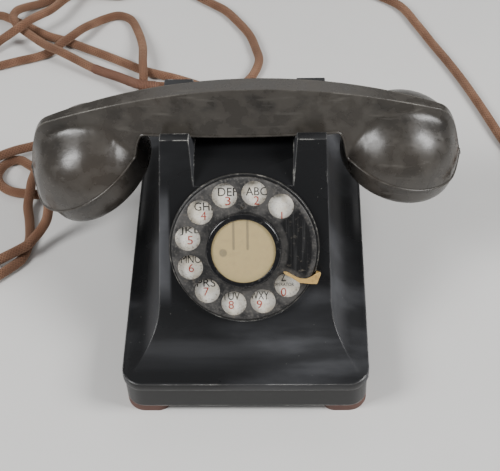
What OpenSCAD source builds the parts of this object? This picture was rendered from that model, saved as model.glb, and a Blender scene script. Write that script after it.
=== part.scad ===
// Rotary desk telephone: cradle housing with a tilted dial, a handset that lifts off,
// cradle plungers with their switch, a two-gong ringer and cloth-covered cords.
// Millimetres, +Z up, front towards -Y. Origin on the floor under the middle of the base.

/* [Housing] */
// Width of the base at its lip
base_w = 131; // [125:0.5:137]
// Depth of the base at its lip
base_d = 196; // [192:0.5:202]
// Height of the lip's upper edge above the floor
lip_z = 26.5; // [25.5:0.5:28]
// Height of the lip band
lip_h = 6; // [5:0.5:7]
// Step from the lip band in to the lower band
band_in = 0.8; // [0.4:0.1:1.5]
// Radius of the base's corners seen from above
corner_r = 11; // [9:0.5:14]
// Height of the rubber corner feet
foot_h = 5; // [4.5:0.25:6]
// Length of each foot pad along the base
foot_l = 24; // [16:1:28]
// Radius of each foot pad's free corners
foot_r = 7; // [3:0.5:8]
// Thickness of the housing's wall
wall = 3; // [2.5:0.1:3.5]
// Height of the cradle ears above the floor
top_z = 113.5; // [112:0.5:116]
// Width across the cradle ears
top_w = 87; // [85:0.5:89]
// Front edge of the cradle ears, behind the origin when positive
ear_front = -4.5; // [-5.5:0.5:-3.5]
// Rear edge of the cradle ears
ear_rear = 42; // [41:0.5:44]
// Slope of the dial face from the horizontal
face_slope = 51.5; // [50.5:0.5:52.5]
// Slope of the rear wall from the horizontal
rear_slope = 70; // [68:0.5:72]
// Slope of the side walls from the horizontal
side_slope = 88; // [87.5:0.1:88.5]
// Radius of the hollow sweep at the foot of the dial face
front_sweep = 57; // [54:1:60]
// Radius of the hollow sweep at the foot of the rear wall
rear_sweep = 38; // [35:1:40]
// Radius of the hollow sweep at the foot of the side walls
side_sweep = 19.5; // [18.5:0.5:20.5]

/* [Cradle] */
// Height of the seat that carries the handset
seat_z = 107; // [106:0.5:108]
// Front edge of the flat seat
seat_front = 3.2; // [3:0.1:3.4]
// Rear edge of the flat seat
seat_rear = 31.8; // [31.6:0.1:32.2]
// Thickness of each ear's tip
ear_tip = 4.6; // [4:0.2:5]
// Height of the finger space under the handle
saddle_z = 98.5; // [98:0.5:99.5]
// Half width of the finger space at its floor
saddle_half = 26; // [25:0.5:27]
// Draft of each side of the finger space
saddle_draft = 2.3; // [1.5:0.1:3]
// Radius of a cradle plunger
plunger_r = 3.2; // [3:0.1:3.6]
// Running clearance of a plunger in its bore
plunger_fit = 0.05; // [0.03:0.01:0.08]
// Distance of each plunger from the centre line
plunger_x = 36; // [35:0.5:37]
// Length of a plunger
plunger_l = 23; // [22:0.5:24]

/* [Dial] */
// Distance up the dial face from the origin's level to the dial's centre, along Z
dial_z = 69.1; // [68:0.1:70]
// Outer radius of the dial's bezel
bezel_r = 39.7; // [39:0.1:41]
// Height of the bezel above the dial face
bezel_h = 2.4; // [2:0.1:2.6]
// Outer radius of the dial's cup behind the face
cup_r = 36.8; // [36:0.1:37.4]
// Depth of the dial's cup
cup_depth = 24; // [23:0.5:25]
// Step from the bezel's edge in to the finger wheel's edge
wheel_gap = 1.6; // [1.3:0.1:2]
// Height of the finger wheel's face above the dial face
wheel_top = 5.1; // [4.9:0.1:5.6]
// Thickness of the finger wheel
wheel_t = 1.2; // [1:0.1:1.3]
// Metal left between each finger hole and the wheel's edge
hole_margin = 1.6; // [1.4:0.1:2.4]
// Radius of a finger hole
hole_r = 6.6; // [6.2:0.1:6.8]
// Angle of the first finger hole
hole_start = 49; // [45:1:55]
// Angle of the small hole beside the card's ring
key_hole_angle = 92; // [88:1:96]
// Radius of the small hole beside the card's ring
key_hole_r = 0.9; // [0.7:0.1:1.1]
// Distance from the card's ring out to the middle of the small hole
key_hole_gap = 2.1; // [1.8:0.1:2.4]
// Radius of the card's retaining ring
card_ring_r = 19.8; // [19:0.1:20.6]
// Visible radius of the card
card_r = 17.3; // [16.8:0.1:17.6]
// Height of the retaining ring's rim above the finger wheel
card_h = 6.2; // [5.6:0.1:6.6]
// Radius of the dial's shaft
shaft_r = 3; // [2.8:0.1:3.2]
// Running clearance of the shafts
shaft_fit = 0.05; // [0.03:0.01:0.08]
// Angle of the finger stop
stop_angle = -21; // [-24:1:-18]
// Gear module of the dial's train
gear_m = 0.8; // [0.75:0.01:0.82]
// Teeth of the main gear
main_teeth = 46; // [44:1:48]
// Teeth of the pinion
pinion_teeth = 18; // [16:1:19]

/* [Handset] */
// Clearance under the resting handle
seat_gap = 0.3; // [0.3:0.05:0.6]
// Height of the handle from its underside to its crest
handle_h = 24.7; // [24:0.1:25.5]
// Radius of the handle's arch
crest_r = 270; // [255:5:300]
// Half width of the flat on the handle's crest
crest_half = 4.4; // [4:0.1:5]
// Spread of the handle's sides per millimetre of height
side_spread = 0.385; // [0.36:0.005:0.4]
// Turn of the resting handset about the vertical
handset_yaw = 0.75; // [0:0.05:1]
// Height of a cup's dome above its rim
dome_h = 29; // [27:0.5:30]
// Radius of the transmitter cup
tx_r = 33.2; // [32.5:0.1:33.6]
// Tilt of the transmitter cup
tx_tilt = 31; // [29:0.5:32]
// Depth of the transmitter cap
tx_cap = 15.3; // [14.5:0.1:15.6]
// Radius of the receiver cup
rx_r = 32; // [31.5:0.1:32.5]
// Tilt of the receiver cup
rx_tilt = 15; // [13:0.5:16]
// Depth of the receiver cap
rx_cap = 13.4; // [12.8:0.1:13.8]

/* [Cords] */
// Diameter of the cloth-covered cords
cord_d = 6; // [5.6:0.1:6]
// Middle radius of the line cord's coil
coil_r = 33; // [31:0.5:34]

/* [Hidden] */
$fn = 72;

under_z = seat_z + seat_gap;         // underside of the resting handle
crest_z = under_z + handle_h;
handset_y = (seat_front + seat_rear) / 2;
wheel_r = bezel_r - wheel_gap;
hole_circle = wheel_r - hole_margin - hole_r;
floor_gap = 0.2;                     // clearance between parts that slide past each other
band_top = lip_z - lip_h;            // joint of the lip band and the lower band
plate_t = 2;                         // thickness of the base plate
plate_top = foot_h + plate_t;
sweep_end = 6;                       // slope left at the foot of each sweep
arc_steps = 12;

// ---------- shared shapes ----------

// A slab with rounded corners seen from above, standing on Z = 0.
module rounded_slab(w, d, r, h) {
    x = w / 2 - r;
    y = d / 2 - r;
    linear_extrude(h) union() {
        square([2 * x, d], center = true);
        square([w, 2 * y], center = true);
        for (sx = [-1, 1], sy = [-1, 1]) translate([sx * x, sy * y]) circle(r);
    }
}

// Points of one flank from the ears down its straight slope and hollow sweep to the lip.
// "inset" moves the whole flank inwards and "top" is where the straight stretch starts.
function flank(edge, slope, r, inset, top) =
    let (cz = lip_z + r * cos(sweep_end),
         run = (top_z + r * cos(slope) - cz) / sin(slope),
         cx = edge + run * cos(slope) + r * sin(slope),
         rr = r + inset)
    concat([[edge + (top_z - top) / tan(slope) - inset / sin(slope), top]],
        [for (i = [0 : arc_steps]) let (a = slope + (sweep_end - slope) * i / arc_steps)
            [cx - rr * sin(a), cz - rr * cos(a)]]);

function flip(points) = [for (i = [len(points) - 1 : -1 : 0]) [-points[i][0], points[i][1]]];
function foot_of(points) = points[len(points) - 1];

// Side view of the upper housing: front flank, ears, rear flank, closed at "bottom".
module side_view(inset, top, bottom) {
    front = flank(-ear_front, face_slope, front_sweep, inset, top);
    rear = flank(ear_rear, rear_slope, rear_sweep, inset, top);
    polygon(concat([[-foot_of(front)[0], bottom]], flip(front), rear,
        [[foot_of(rear)[0], bottom]]));
}

// Front view of the upper housing, closed at "bottom".
module front_view(inset, top, bottom) {
    side = flank(top_w / 2, side_slope, side_sweep, inset, top);
    polygon(concat([[-foot_of(side)[0], bottom]], flip(side), side, [[foot_of(side)[0], bottom]]));
}

// The side view carried across the width and the front view carried front to back.
module upper_form(inset, top, bottom) {
    intersection() {
        along_x(base_w) side_view(inset, top, bottom);
        along_y(base_d) front_view(inset, top, bottom);
    }
}

// A drawing in Y and Z carried along X, and one in X and Z carried along Y.
module along_x(w) { rotate([90, 0, 90]) linear_extrude(w, center = true) children(); }
module along_y(d) { rotate([90, 0, 0]) linear_extrude(d, center = true) children(); }

// Moves its children into the dial's frame: Z along the dial's axis, Z = 0 on the dial face.
dial_y = ear_front - (top_z - dial_z) / tan(face_slope);
module at_dial() { translate([0, dial_y, dial_z]) rotate([face_slope, 0, 0]) children(); }

module ring(r_out, r_in, h) {
    difference() {
        cylinder(r = r_out, h = h);
        translate([0, 0, -1]) cylinder(r = r_in, h = h + 2);
    }
}

// ---------- housing and base ----------

dial_hole_r = cup_r + 0.4;
cavity_top = saddle_z - wall - 3.5;
pocket_in = 31;
pocket_out = 40.3;
pocket_top = seat_z - 3.5;
screw_gap = 5.5;                      // from a foot pad to the middle of its screw
screw_x = base_w / 2 - foot_l - screw_gap;
screw_y = base_d / 2 - corner_r;
screw_r = 1.5;
screw_boss_r = 4;
gland_z = 14.5;
gland_hole_r = 4.4;
flange = 0.9;                         // overlap of a grommet around its hole
line_exit_x = -20;
handset_exit_x = -45;

module housing_outer() {
    upper_form(0, top_z, lip_z - 1);
    translate([0, 0, band_top]) rounded_slab(base_w, base_d, corner_r, lip_h);
    translate([0, 0, foot_h])
        rounded_slab(base_w - 2 * band_in, base_d - 2 * band_in, corner_r - band_in, band_top - foot_h);
}

module housing_cavity() {
    inner = 2 * (wall + band_in);
    upper_form(wall, cavity_top, lip_z - wall - 1);
    translate([0, 0, foot_h - 1])
        rounded_slab(base_w - inner, base_d - inner, corner_r - wall - band_in, lip_z - wall - foot_h + 1);
    for (s = [-1, 1]) translate([s * (pocket_in + pocket_out) / 2 - (pocket_out - pocket_in) / 2,
            seat_front + 4, cavity_top - 1])
        cube([pocket_out - pocket_in, seat_rear - seat_front - 8, pocket_top - cavity_top + 1]);
}

// Space between the ears for the handle, cut from side to side.
module cradle_cut() {
    front = ear_front + ear_tip;
    rear = ear_rear - ear_tip;
    along_x(base_w) polygon([[seat_front, seat_z], [seat_rear, seat_z],
        [rear, top_z + 1], [front, top_z + 1]]);
}

// Finger space between the ears: a sloping recess in front, open at the rear.
module saddle_cut() {
    start_z = saddle_z - 4;
    start_y = ear_front - (top_z - start_z) / tan(face_slope);
    half = saddle_half;
    far = ear_rear + 20;
    intersection() {
        along_x(base_w) polygon([[start_y - 1, start_z - 0.25], [-3, saddle_z], [far, saddle_z],
            [far, top_z + 1], [start_y - 1, top_z + 1]]);
        along_y(base_d) polygon([[-half, start_z - 1], [half, start_z - 1],
            [half + saddle_draft, top_z + 1], [-half - saddle_draft, top_z + 1]]);
    }
}

module screw_places() {
    for (sx = [-1, 1], sy = [-1, 1]) translate([sx * screw_x, sy * screw_y, 0]) children();
}

module housing() {
    color([0.05, 0.05, 0.055]) difference() {
        housing_outer();
        difference() {
            housing_cavity();
            screw_places() translate([0, 0, plate_top]) cylinder(r = screw_boss_r, h = 40);
        }
        cradle_cut();
        saddle_cut();
        screw_places() translate([0, 0, plate_top - 1]) cylinder(r = screw_r + 0.05, h = 11);
        at_dial() translate([0, 0, -12]) cylinder(r = dial_hole_r, h = 20);
        at_dial() cylinder(r = bezel_r + floor_gap, h = 20);
        for (s = [-1, 1]) translate([s * plunger_x, plunger_y, pocket_top - 1])
            cylinder(r = plunger_r + plunger_fit, h = 12);
        for (x = [line_exit_x, handset_exit_x]) translate([x, base_d / 2 + 1, gland_z])
            rotate([90, 0, 0]) cylinder(r = gland_hole_r, h = wall + 4);
    }
}

module base_plate() {
    inner = 2 * (wall + band_in) + 0.4;
    color([0.12, 0.12, 0.12]) difference() {
        translate([0, 0, foot_h])
            rounded_slab(base_w - inner, base_d - inner, corner_r - wall - band_in - 0.2, plate_t);
        screw_places() translate([0, 0, foot_h - 1]) cylinder(r = screw_r + 0.05, h = plate_t + 2);
    }
}

// Rubber corner pads, flush with the lower band and rounded at their ends.
module feet() {
    w = base_w - 2 * band_in;
    d = base_d - 2 * band_in;
    color([0.42, 0.3, 0.27]) intersection() {
        rounded_slab(w, d, corner_r - band_in, foot_h);
        for (sx = [-1, 1], sy = [-1, 1]) translate([sx * (w - foot_l) / 2, sy * (d - foot_l) / 2, -1])
            rounded_slab(foot_l, foot_l, foot_r, foot_h + 2);
    }
}

module base_screws() {
    color([0.6, 0.6, 0.58]) screw_places() {
        translate([0, 0, foot_h - 2]) cylinder(r = 3.2, h = 2);
        translate([0, 0, foot_h - 1]) cylinder(r = screw_r, h = 12);
    }
}

grommet_l = wall + 3;
module base_grommets() {
    color([0.1, 0.09, 0.085]) for (x = [line_exit_x, handset_exit_x])
        translate([x, base_d / 2 - band_in, gland_z]) rotate([90, 0, 0]) difference() {
            union() {
                cylinder(r = gland_hole_r, h = wall);
                translate([0, 0, -1.5]) cylinder(r = gland_hole_r + flange, h = 1.5);
                translate([0, 0, wall]) cylinder(r = gland_hole_r + flange, h = 1.5);
            }
            translate([0, 0, -2]) cylinder(r = cord_d / 2 + 0.1, h = grommet_l + 2);
        }
}

// ---------- dial ----------

plate_z = 1.2;                        // underside of the number plate
number_t = 0.8;
wheel_z = wheel_top - wheel_t;        // underside of the finger wheel
gear_z = -8;                          // underside of the main gear
gear_t = 2;
cup_floor = 2;
pinion_r = gear_m * pinion_teeth / 2;
main_r = gear_m * main_teeth / 2;
pinion_dist = main_r + pinion_r;
web_t = 1.2;                          // thickness of the dial frame's web
stop_z = wheel_top + 0.7;             // underside of the finger stop's hook
stop_t = 1.2;
stop_foot = 1.4;                      // top of the lug that carries the hook
stop_y = -3.6;                        // side of the hook's post
stop_w = 5.4;
stop_root_l = 2.4;
lug_over = 0.7;                       // margin of the lug around the post

module dial_frame() {
    inner_r = cup_r - 2;
    color([0.08, 0.08, 0.085]) at_dial() difference() {
        union() {
            rotate_extrude() polygon([[inner_r, -cup_depth], [cup_r, -cup_depth], [cup_r, 0], [bezel_r, 0],
                [bezel_r, bezel_h - 1], [bezel_r - 0.5, bezel_h - 0.2], [bezel_r - 1.2, bezel_h],
                [bezel_r - 1.9, bezel_h], [bezel_r - 2.4, plate_z + number_t],
                [bezel_r - 2.4, plate_z], [inner_r, plate_z]]);
            translate([0, 0, -cup_depth]) cylinder(r = cup_r - 1, h = cup_floor);
            cylinder(r = shaft_r + 4, h = plate_z);
            for (a = [90, 210, 330]) rotate([0, 0, a])
                translate([inner_r - 5, -4, 0]) cube([6, 8, plate_z]);
            translate([0, 0, plate_z - web_t]) ring(inner_r + 0.5, inner_r - 4, web_t);
            for (a = [30, 150, 270]) rotate([0, 0, a])
                translate([0, -2.5, 0]) cube([inner_r - 3, 5, plate_z]);
            rotate([0, 0, stop_angle]) translate([bezel_r - 2, stop_y - lug_over, 0])
                cube([2 + stop_root_l, stop_w + 2 * lug_over, stop_foot]);
        }
        translate([0, 0, -cup_depth - 1]) cylinder(r = shaft_r + shaft_fit, h = cup_depth + 6);
        translate([pinion_dist, 0, -cup_depth - 1]) cylinder(r = pin_r + shaft_fit, h = cup_floor + 2);
    }
}

module number_plate() {
    color([0.86, 0.85, 0.8]) at_dial() translate([0, 0, plate_z])
        ring(bezel_r - 2.5, shaft_r + 1.5, number_t);
}

// A crescent hook on a short post outside the bezel, its hollow side towards the last hole's path.
module finger_stop() {
    root = bezel_r + 0.1;
    color([0.8, 0.66, 0.36]) at_dial() rotate([0, 0, stop_angle]) {
        translate([root, stop_y, stop_foot]) cube([stop_root_l, stop_w, stop_z - stop_foot + stop_t]);
        translate([root, 0, stop_z]) linear_extrude(stop_t)
            polygon([[stop_root_l, stop_y], [stop_root_l, stop_y + stop_w], [1.7, 2.8], [0.3, 1.7],
                [-1.7, -1], [-4, -3.1], [-7.2, -4], [-10.9, -3.8], [-14.2, -3.2], [-16.3, -3.7],
                [-14.9, -4.7], [-12.3, -5], [-9.1, -5.6], [-6.4, -6.2], [-4.2, -5.6], [-0.9, -4.8]]);
    }
}

// Ten finger holes, an eased edge and a small hole near the card's ring.
module finger_wheel() {
    color([0.13, 0.13, 0.135]) at_dial() difference() {
        rotate_extrude() polygon([[0, wheel_z], [wheel_r - 0.5, wheel_z], [wheel_r, wheel_z + 0.5],
            [wheel_r - 0.3, wheel_top - 0.2], [wheel_r - 1, wheel_top], [0, wheel_top]]);
        for (i = [0 : 9]) rotate([0, 0, hole_start + 30 * i]) translate([hole_circle, 0, wheel_z - 1])
            cylinder(r = hole_r, h = wheel_t + 2);
        translate([0, 0, wheel_z - 1]) cylinder(r = shaft_r, h = wheel_t + 2);
        rotate([0, 0, key_hole_angle]) translate([card_ring_r + key_hole_gap, 0, wheel_z - 1])
            cylinder(r = key_hole_r, h = wheel_t + 2, $fn = 24);
    }
}

holder_h = card_h - 1.6;
module card_holder() {
    color([0.7, 0.68, 0.62]) at_dial() translate([0, 0, wheel_top]) difference() {
        rotate_extrude() polygon([[0, 0], [card_r - 2, 0], [card_r, 1], [card_r, holder_h], [0, holder_h]]);
        translate([0, 0, -1]) cylinder(r = shaft_r, h = 4);
    }
}

module number_card() {
    color([0.72, 0.67, 0.53]) at_dial() translate([0, 0, wheel_top + holder_h])
        cylinder(r = card_r, h = 0.4);
}

module card_window() {
    color([0.8, 0.78, 0.7, 0.4]) at_dial() translate([0, 0, wheel_top + holder_h + 0.4])
        cylinder(r = card_r, h = 0.5);
}

// Rounded black ring around the card.
module card_retainer() {
    inner = card_r;
    color([0.04, 0.04, 0.045]) at_dial() translate([0, 0, wheel_top]) rotate_extrude()
        polygon([[inner, 0], [card_ring_r, 0], [card_ring_r, card_h * 0.55],
            [card_ring_r - 0.4, card_h * 0.8], [card_ring_r - 1.2, card_h], [inner - 0.4, card_h],
            [inner - 0.6, holder_h + 0.9], [inner, holder_h + 0.9]]);
}

module dial_shaft() {
    color([0.7, 0.6, 0.4]) at_dial() translate([0, 0, -cup_depth])
        cylinder(r = shaft_r, h = cup_depth + wheel_top + 3);
}

// A spur gear with straight-sided teeth, thin enough to run free of its mate.
module gear(teeth, thick, bore) {
    r = gear_m * teeth / 2;
    root = r - 1.25 * gear_m;
    tip = r + 0.8 * gear_m;
    step = 360 / teeth;
    linear_extrude(thick) difference() {
        union() {
            circle(root);
            for (i = [0 : teeth - 1]) rotate(i * step) polygon([[root - 0.3, -0.62 * gear_m],
                [r, -0.5 * gear_m], [tip, -0.24 * gear_m], [tip, 0.24 * gear_m],
                [r, 0.5 * gear_m], [root - 0.3, 0.62 * gear_m]]);
        }
        circle(bore);
    }
}

module main_gear() {
    color([0.72, 0.6, 0.32]) at_dial() translate([0, 0, gear_z]) union() {
        gear(main_teeth, gear_t, shaft_r);
        translate([0, 0, gear_t]) ring(shaft_r + 3, shaft_r, 2);
    }
}

// Flat spiral spring behind the main gear, from the shaft to the cup's floor peg.
spring_turns = 5;
module main_spring() {
    n = 24 * spring_turns;
    r0 = shaft_r + 0.3;
    r1 = 16;
    t = 0.5;
    function at(i, e) = let (r = r0 + (r1 - r0) * i / n + e, a = 15 * i) [r * cos(a), r * sin(a)];
    color([0.35, 0.37, 0.42]) at_dial() translate([0, 0, gear_z - 6]) {
        linear_extrude(4)
            polygon(concat([for (i = [0 : n]) at(i, 0)], [for (i = [n : -1 : 0]) at(i, t)]));
        translate([r1, 0, -8]) cylinder(r = 1, h = 12, $fn = 24);
    }
}

pin_r = 1.5;
// Pinion, shaft and two-lobed pulse cam, beside the main gear.
module pulse_pinion() {
    half_tooth = 180 / pinion_teeth;
    color([0.75, 0.64, 0.36]) at_dial() translate([pinion_dist, 0, 0]) {
        translate([0, 0, gear_z]) rotate([0, 0, 180 + half_tooth]) gear(pinion_teeth, gear_t, 0.6);
        translate([0, 0, -cup_depth]) cylinder(r = pin_r, h = cup_depth + gear_z + 4);
        translate([0, 0, gear_z - 6]) intersection() {
            cylinder(r = 4, h = 2);
            translate([-5, -2.6, 0]) cube([10, 5.2, 2]);
        }
    }
}

// Leaf contacts that the pulse cam opens.
module pulse_springs() {
    floor_z = -cup_depth + cup_floor;
    color([0.8, 0.74, 0.55]) at_dial() translate([pinion_dist - 7, -19, floor_z]) {
        cube([7, 6, gear_z - 4 - floor_z]);
        for (i = [0, 1]) translate([1 + 3 * i, 6, gear_z - 6 - floor_z]) cube([0.5, 9.5 - 2 * i, 2]);
    }
}

governor_teeth = 10;
governor_angle = 212;
governor_dist = main_r + gear_m * governor_teeth / 2;
governor_h = 7;
module at_governor() {
    at_dial() rotate([0, 0, governor_angle]) translate([governor_dist, 0, 0]) children();
}

module governor_cup() {
    color([0.6, 0.5, 0.3]) at_governor() translate([0, 0, -cup_depth + cup_floor]) difference() {
        cylinder(r = 8, h = governor_h);
        translate([0, 0, 2]) cylinder(r = 7, h = governor_h);
        translate([0, 0, -1]) cylinder(r = 1 + shaft_fit, h = 4);
    }
}

// Governor shaft with its pinion and two fly weights.
module governor() {
    weight_z = -cup_depth + cup_floor + 3;
    color([0.55, 0.55, 0.56]) at_governor() {
        translate([0, 0, -cup_depth + cup_floor])
            cylinder(r = 1, h = cup_depth - cup_floor + gear_z + gear_t);
        translate([0, 0, gear_z]) rotate([0, 0, governor_mesh]) gear(governor_teeth, gear_t, 0.6);
        translate([0, 0, weight_z]) difference() {
            cylinder(r = 6.2, h = 3);
            translate([-7, -1.6, 1]) cube([14, 3.2, 3]);
        }
    }
}
// Turn of the governor's pinion that puts a gap of its own against a tooth of the main gear.
governor_phase = governor_angle * main_teeth / 360;
governor_mesh = 180 + (180 + 360 * (governor_phase - floor(governor_phase))) / governor_teeth;

module dial_screws() {
    color([0.75, 0.72, 0.62]) at_dial() for (a = [30, 150, 270]) rotate([0, 0, a])
        translate([25, 0, plate_z - web_t - 2]) cylinder(r = 1.8, h = 2, $fn = 32);
}

// ---------- cradle switch ----------

bracket_half = 25;
lever_pivot_y = 42;
lever_pivot_z = 79;
lever_pin_r = 1.5;
lever_z = seat_z - plunger_l - 0.3;   // top of the lever's pads
lever_arm_x = 28;
lever_arm_h = 4;
lever_arm_top = lever_z - 1.2;

bracket_t = 1.6;
module hook_bracket() {
    cheek_h = cavity_top - lever_pivot_z + 4;
    back = lever_pivot_y + 4;
    color([0.6, 0.58, 0.5]) difference() {
        union() {
            translate([-bracket_half, 20, cavity_top - bracket_t])
                cube([2 * bracket_half, back - 20, bracket_t]);
            for (s = [-1, 1]) translate([s * (bracket_half - bracket_t / 2) - bracket_t / 2, back - 8,
                    cavity_top - cheek_h])
                cube([bracket_t, 8, cheek_h]);
        }
        translate([0, lever_pivot_y, lever_pivot_z]) rotate([0, 90, 0])
            cylinder(r = lever_pin_r + shaft_fit, h = 80, center = true);
    }
}

module hook_screws() {
    color([0.7, 0.7, 0.68]) for (s = [-1, 1]) translate([s * 18, 26, cavity_top - bracket_t - 1.6])
        cylinder(r = 2.4, h = 1.6, $fn = 32);
}

module hook_pin() {
    color([0.7, 0.7, 0.7]) translate([0, lever_pivot_y, lever_pivot_z]) rotate([0, 90, 0])
        cylinder(r = lever_pin_r, h = 2 * lever_arm_x + 6, center = true);
}

// Two arms, a cross bar and a pad under each plunger.
plunger_y = handset_y;
module hook_lever() {
    arm_z = lever_arm_top - lever_arm_h;
    pad_w = plunger_x + plunger_r + 1 - lever_arm_x;
    color([0.62, 0.6, 0.54]) difference() {
        union() {
            for (s = [-1, 1]) {
                translate([s * lever_arm_x, lever_pivot_y, lever_pivot_z]) rotate([0, 90, 0])
                    cylinder(r = 3.2, h = 2, center = true);
                translate([s * lever_arm_x - 1, plunger_y - 3.5, arm_z])
                    cube([2, lever_pivot_y - plunger_y + 3.5, lever_arm_h]);
                translate([s > 0 ? lever_arm_x : -lever_arm_x - pad_w, plunger_y - 3.5, lever_arm_top - 1])
                    cube([pad_w, 7, 2.2]);
            }
            translate([-lever_arm_x, 30, arm_z]) cube([2 * lever_arm_x, 3, 1.5]);
        }
        translate([0, lever_pivot_y, lever_pivot_z]) rotate([0, 90, 0])
            cylinder(r = lever_pin_r + shaft_fit, h = 80, center = true);
    }
}

module plungers() {
    color([0.55, 0.53, 0.5]) for (s = [-1, 1]) translate([s * plunger_x, plunger_y, seat_z - plunger_l])
        cylinder(r = plunger_r, h = plunger_l);
}

// Pile of contact leaves and insulators under the lever's cross bar.
leaf_t = 0.6;
leaf_step = 3;
module hook_switch() {
    post_top = cavity_top - bracket_t;
    leaf_z = lever_arm_top - lever_arm_h - 0.3 - leaf_t - 3 * leaf_step;
    color([0.75, 0.68, 0.45]) {
        translate([-6, 36, leaf_z - 2]) cube([12, 4, post_top - leaf_z + 2]);
        for (i = [0 : 3]) translate([-4 + 0.5 * i, 16 + 1.5 * i, leaf_z + leaf_step * i])
            cube([8 - i, 21 - 1.5 * i, leaf_t]);
    }
}

// ---------- ringer, condenser and coil on the base plate ----------

gong_r = 22.5;
gong_x = 26;
gong_y = 58;
gong_z = 16;
gong_h = 14;
gong_t = 1.3;
frame_t = 1.6;
coil_x = 11;
coil_z = 26;
core_r = 3;
yoke_y = 4;                           // rear face of the yoke, where the coils start
core_l = 30;

module ringer_frame() {
    post_l = gong_z + gong_h - gong_t - plate_top;
    color([0.55, 0.55, 0.5]) {
        translate([-38, -5, plate_top]) cube([76, gong_y + 10, frame_t]);
        for (s = [-1, 1]) translate([s * gong_x, gong_y, plate_top]) cylinder(r = 2.5, h = post_l);
        translate([-20, yoke_y - 3, plate_top]) cube([40, 3, coil_z + 8.5 - plate_top]);
        translate([0, clapper_y, plate_top]) cylinder(r = 3, h = clapper_z - floor_gap - plate_top);
    }
}

module ringer_coils() {
    wound = core_l - 2;
    color([0.35, 0.12, 0.08]) for (s = [-1, 1])
            translate([s * coil_x, yoke_y, coil_z]) rotate([-90, 0, 0]) {
        ring(8.5, core_r, wound);
        ring(9.5, core_r, 1.5);
        translate([0, 0, wound - 1.5]) ring(9.5, core_r, 1.5);
    }
}

module ringer_magnet() {
    base = plate_top + frame_t;
    color([0.45, 0.45, 0.47]) {
        for (s = [-1, 1]) translate([s * coil_x, yoke_y, coil_z]) rotate([-90, 0, 0])
            cylinder(r = core_r, h = core_l);
        translate([-14, yoke_y - 7, base]) cube([28, 4, coil_z + 6 - base]);
    }
}

clapper_y = yoke_y + core_l + 4;
clapper_z = 15.5;
rod_z = 18;
ball_r = 2.3;
// Armature in front of the cores, with the rod and ball between the gongs.
module clapper() {
    color([0.5, 0.48, 0.42]) {
        translate([0, clapper_y, clapper_z + floor_gap]) cylinder(r = 2.4, h = coil_z + 3 - clapper_z);
        translate([-15, clapper_y - 2.8, coil_z - 3]) cube([30, 1.4, 6]);
        translate([0, clapper_y, rod_z]) rotate([-90, 0, 0])
            cylinder(r = 0.8, h = gong_y - clapper_y, $fn = 24);
        translate([0, gong_y, rod_z]) sphere(r = ball_r, $fn = 32);
    }
}

// Two dished bells.
module gongs() {
    r = gong_r;
    t = gong_t;
    color([0.72, 0.6, 0.32]) for (s = [-1, 1]) translate([s * gong_x, gong_y, gong_z]) difference() {
        rotate_extrude() polygon([[r, 0], [r, 2], [r - 1, 6], [r - 4, 10.5], [r - 9, 13.2], [4, gong_h],
            [0, gong_h], [0, gong_h - t], [4, gong_h - t], [r - 9.4, 12], [r - 5, 9.6], [r - 2.2, 5.6],
            [r - t, 2], [r - t, 0]]);
        cylinder(r = 1.6, h = 20);
    }
}

module gong_screws() {
    color([0.7, 0.7, 0.68]) for (s = [-1, 1]) translate([s * gong_x, gong_y, gong_z + gong_h]) union() {
        cylinder(r = 3.4, h = 1.8, $fn = 32);
        translate([0, 0, -gong_t]) cylinder(r = 1.5, h = gong_t + 1);
    }
}

module condenser() {
    color([0.5, 0.5, 0.48]) {
        translate([-46, -40, plate_top]) cube([40, 26, 15]);
        for (x = [-38, -16]) translate([x, -15, plate_top + 12]) cube([4, 5, 0.8]);
    }
}

module induction_coil() {
    color([0.25, 0.16, 0.1]) translate([8, -27, plate_top + 9]) rotate([0, 90, 0]) {
        cylinder(r = 8, h = 38);
        translate([-9, -9, 0]) cube([18, 18, 2]);
        translate([-9, -9, 36]) cube([18, 18, 2]);
    }
}

module terminal_block() {
    color([0.3, 0.18, 0.1]) translate([-24, -60, plate_top]) difference() {
        cube([48, 14, 6]);
        for (i = [0 : 3]) translate([6 + 12 * i, 7, 2]) cylinder(r = 1.5, h = 6);
    }
}

module terminal_screws() {
    color([0.75, 0.66, 0.4]) for (i = [0 : 3]) translate([-18 + 12 * i, -53, plate_top + 2]) union() {
        cylinder(r = 1.5, h = 5);
        translate([0, 0, 4]) cylinder(r = 3.2, h = 1.6);
    }
}

// ---------- handset ----------

// A cup is [x, z of the rim's centre, radius, tilt]; the tilt is positive on the transmitter's side.
tx = [-86.4, under_z - 29.4, tx_r, tx_tilt];
rx = [85, under_z - 22.9, rx_r, -rx_tilt];
crest_x = 4;
tip_run = 15;
tx_end = -119.2;
rx_end = 117.3;
under_run = 5;
blend_k = 3.5;

function ramp(v) = max(0, v);
function end_of(x) = x < 0 ? -tx_end : rx_end;
function crest(x) = crest_z - pow(x - crest_x, 2) / (2 * crest_r)
    - 30 * pow(ramp((abs(x) - end_of(x) + tip_run) / tip_run), 3);
function crest_w(x) = crest_half - 2.6 * pow(abs(x) / 112, 3);
function along(c, x, z) = (x - c[0]) * cos(c[3]) + (z - c[1]) * sin(c[3]);
function above(c, x, z) = -(x - c[0]) * sin(c[3]) + (z - c[1]) * cos(c[3]);
function dome(c, x, z) = let (h = ramp(above(c, x, z)) / dome_h, s = along(c, x, z))
    sqrt(ramp(pow(c[2], 2) * (1 - h * h) - s * s));
function half_w(x, z) = let (w = crest_w(x) + side_spread * ramp(crest(x) - z),
        d = dome(x < 0 ? tx : rx, x, z))
    pow(pow(w, blend_k) + pow(d, blend_k), 1 / blend_k) * end_round(x);
function end_round(x) = let (t = ramp((abs(x) - end_of(x) + 7) / 7)) sqrt(1 - 0.8 * t * t);

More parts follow.
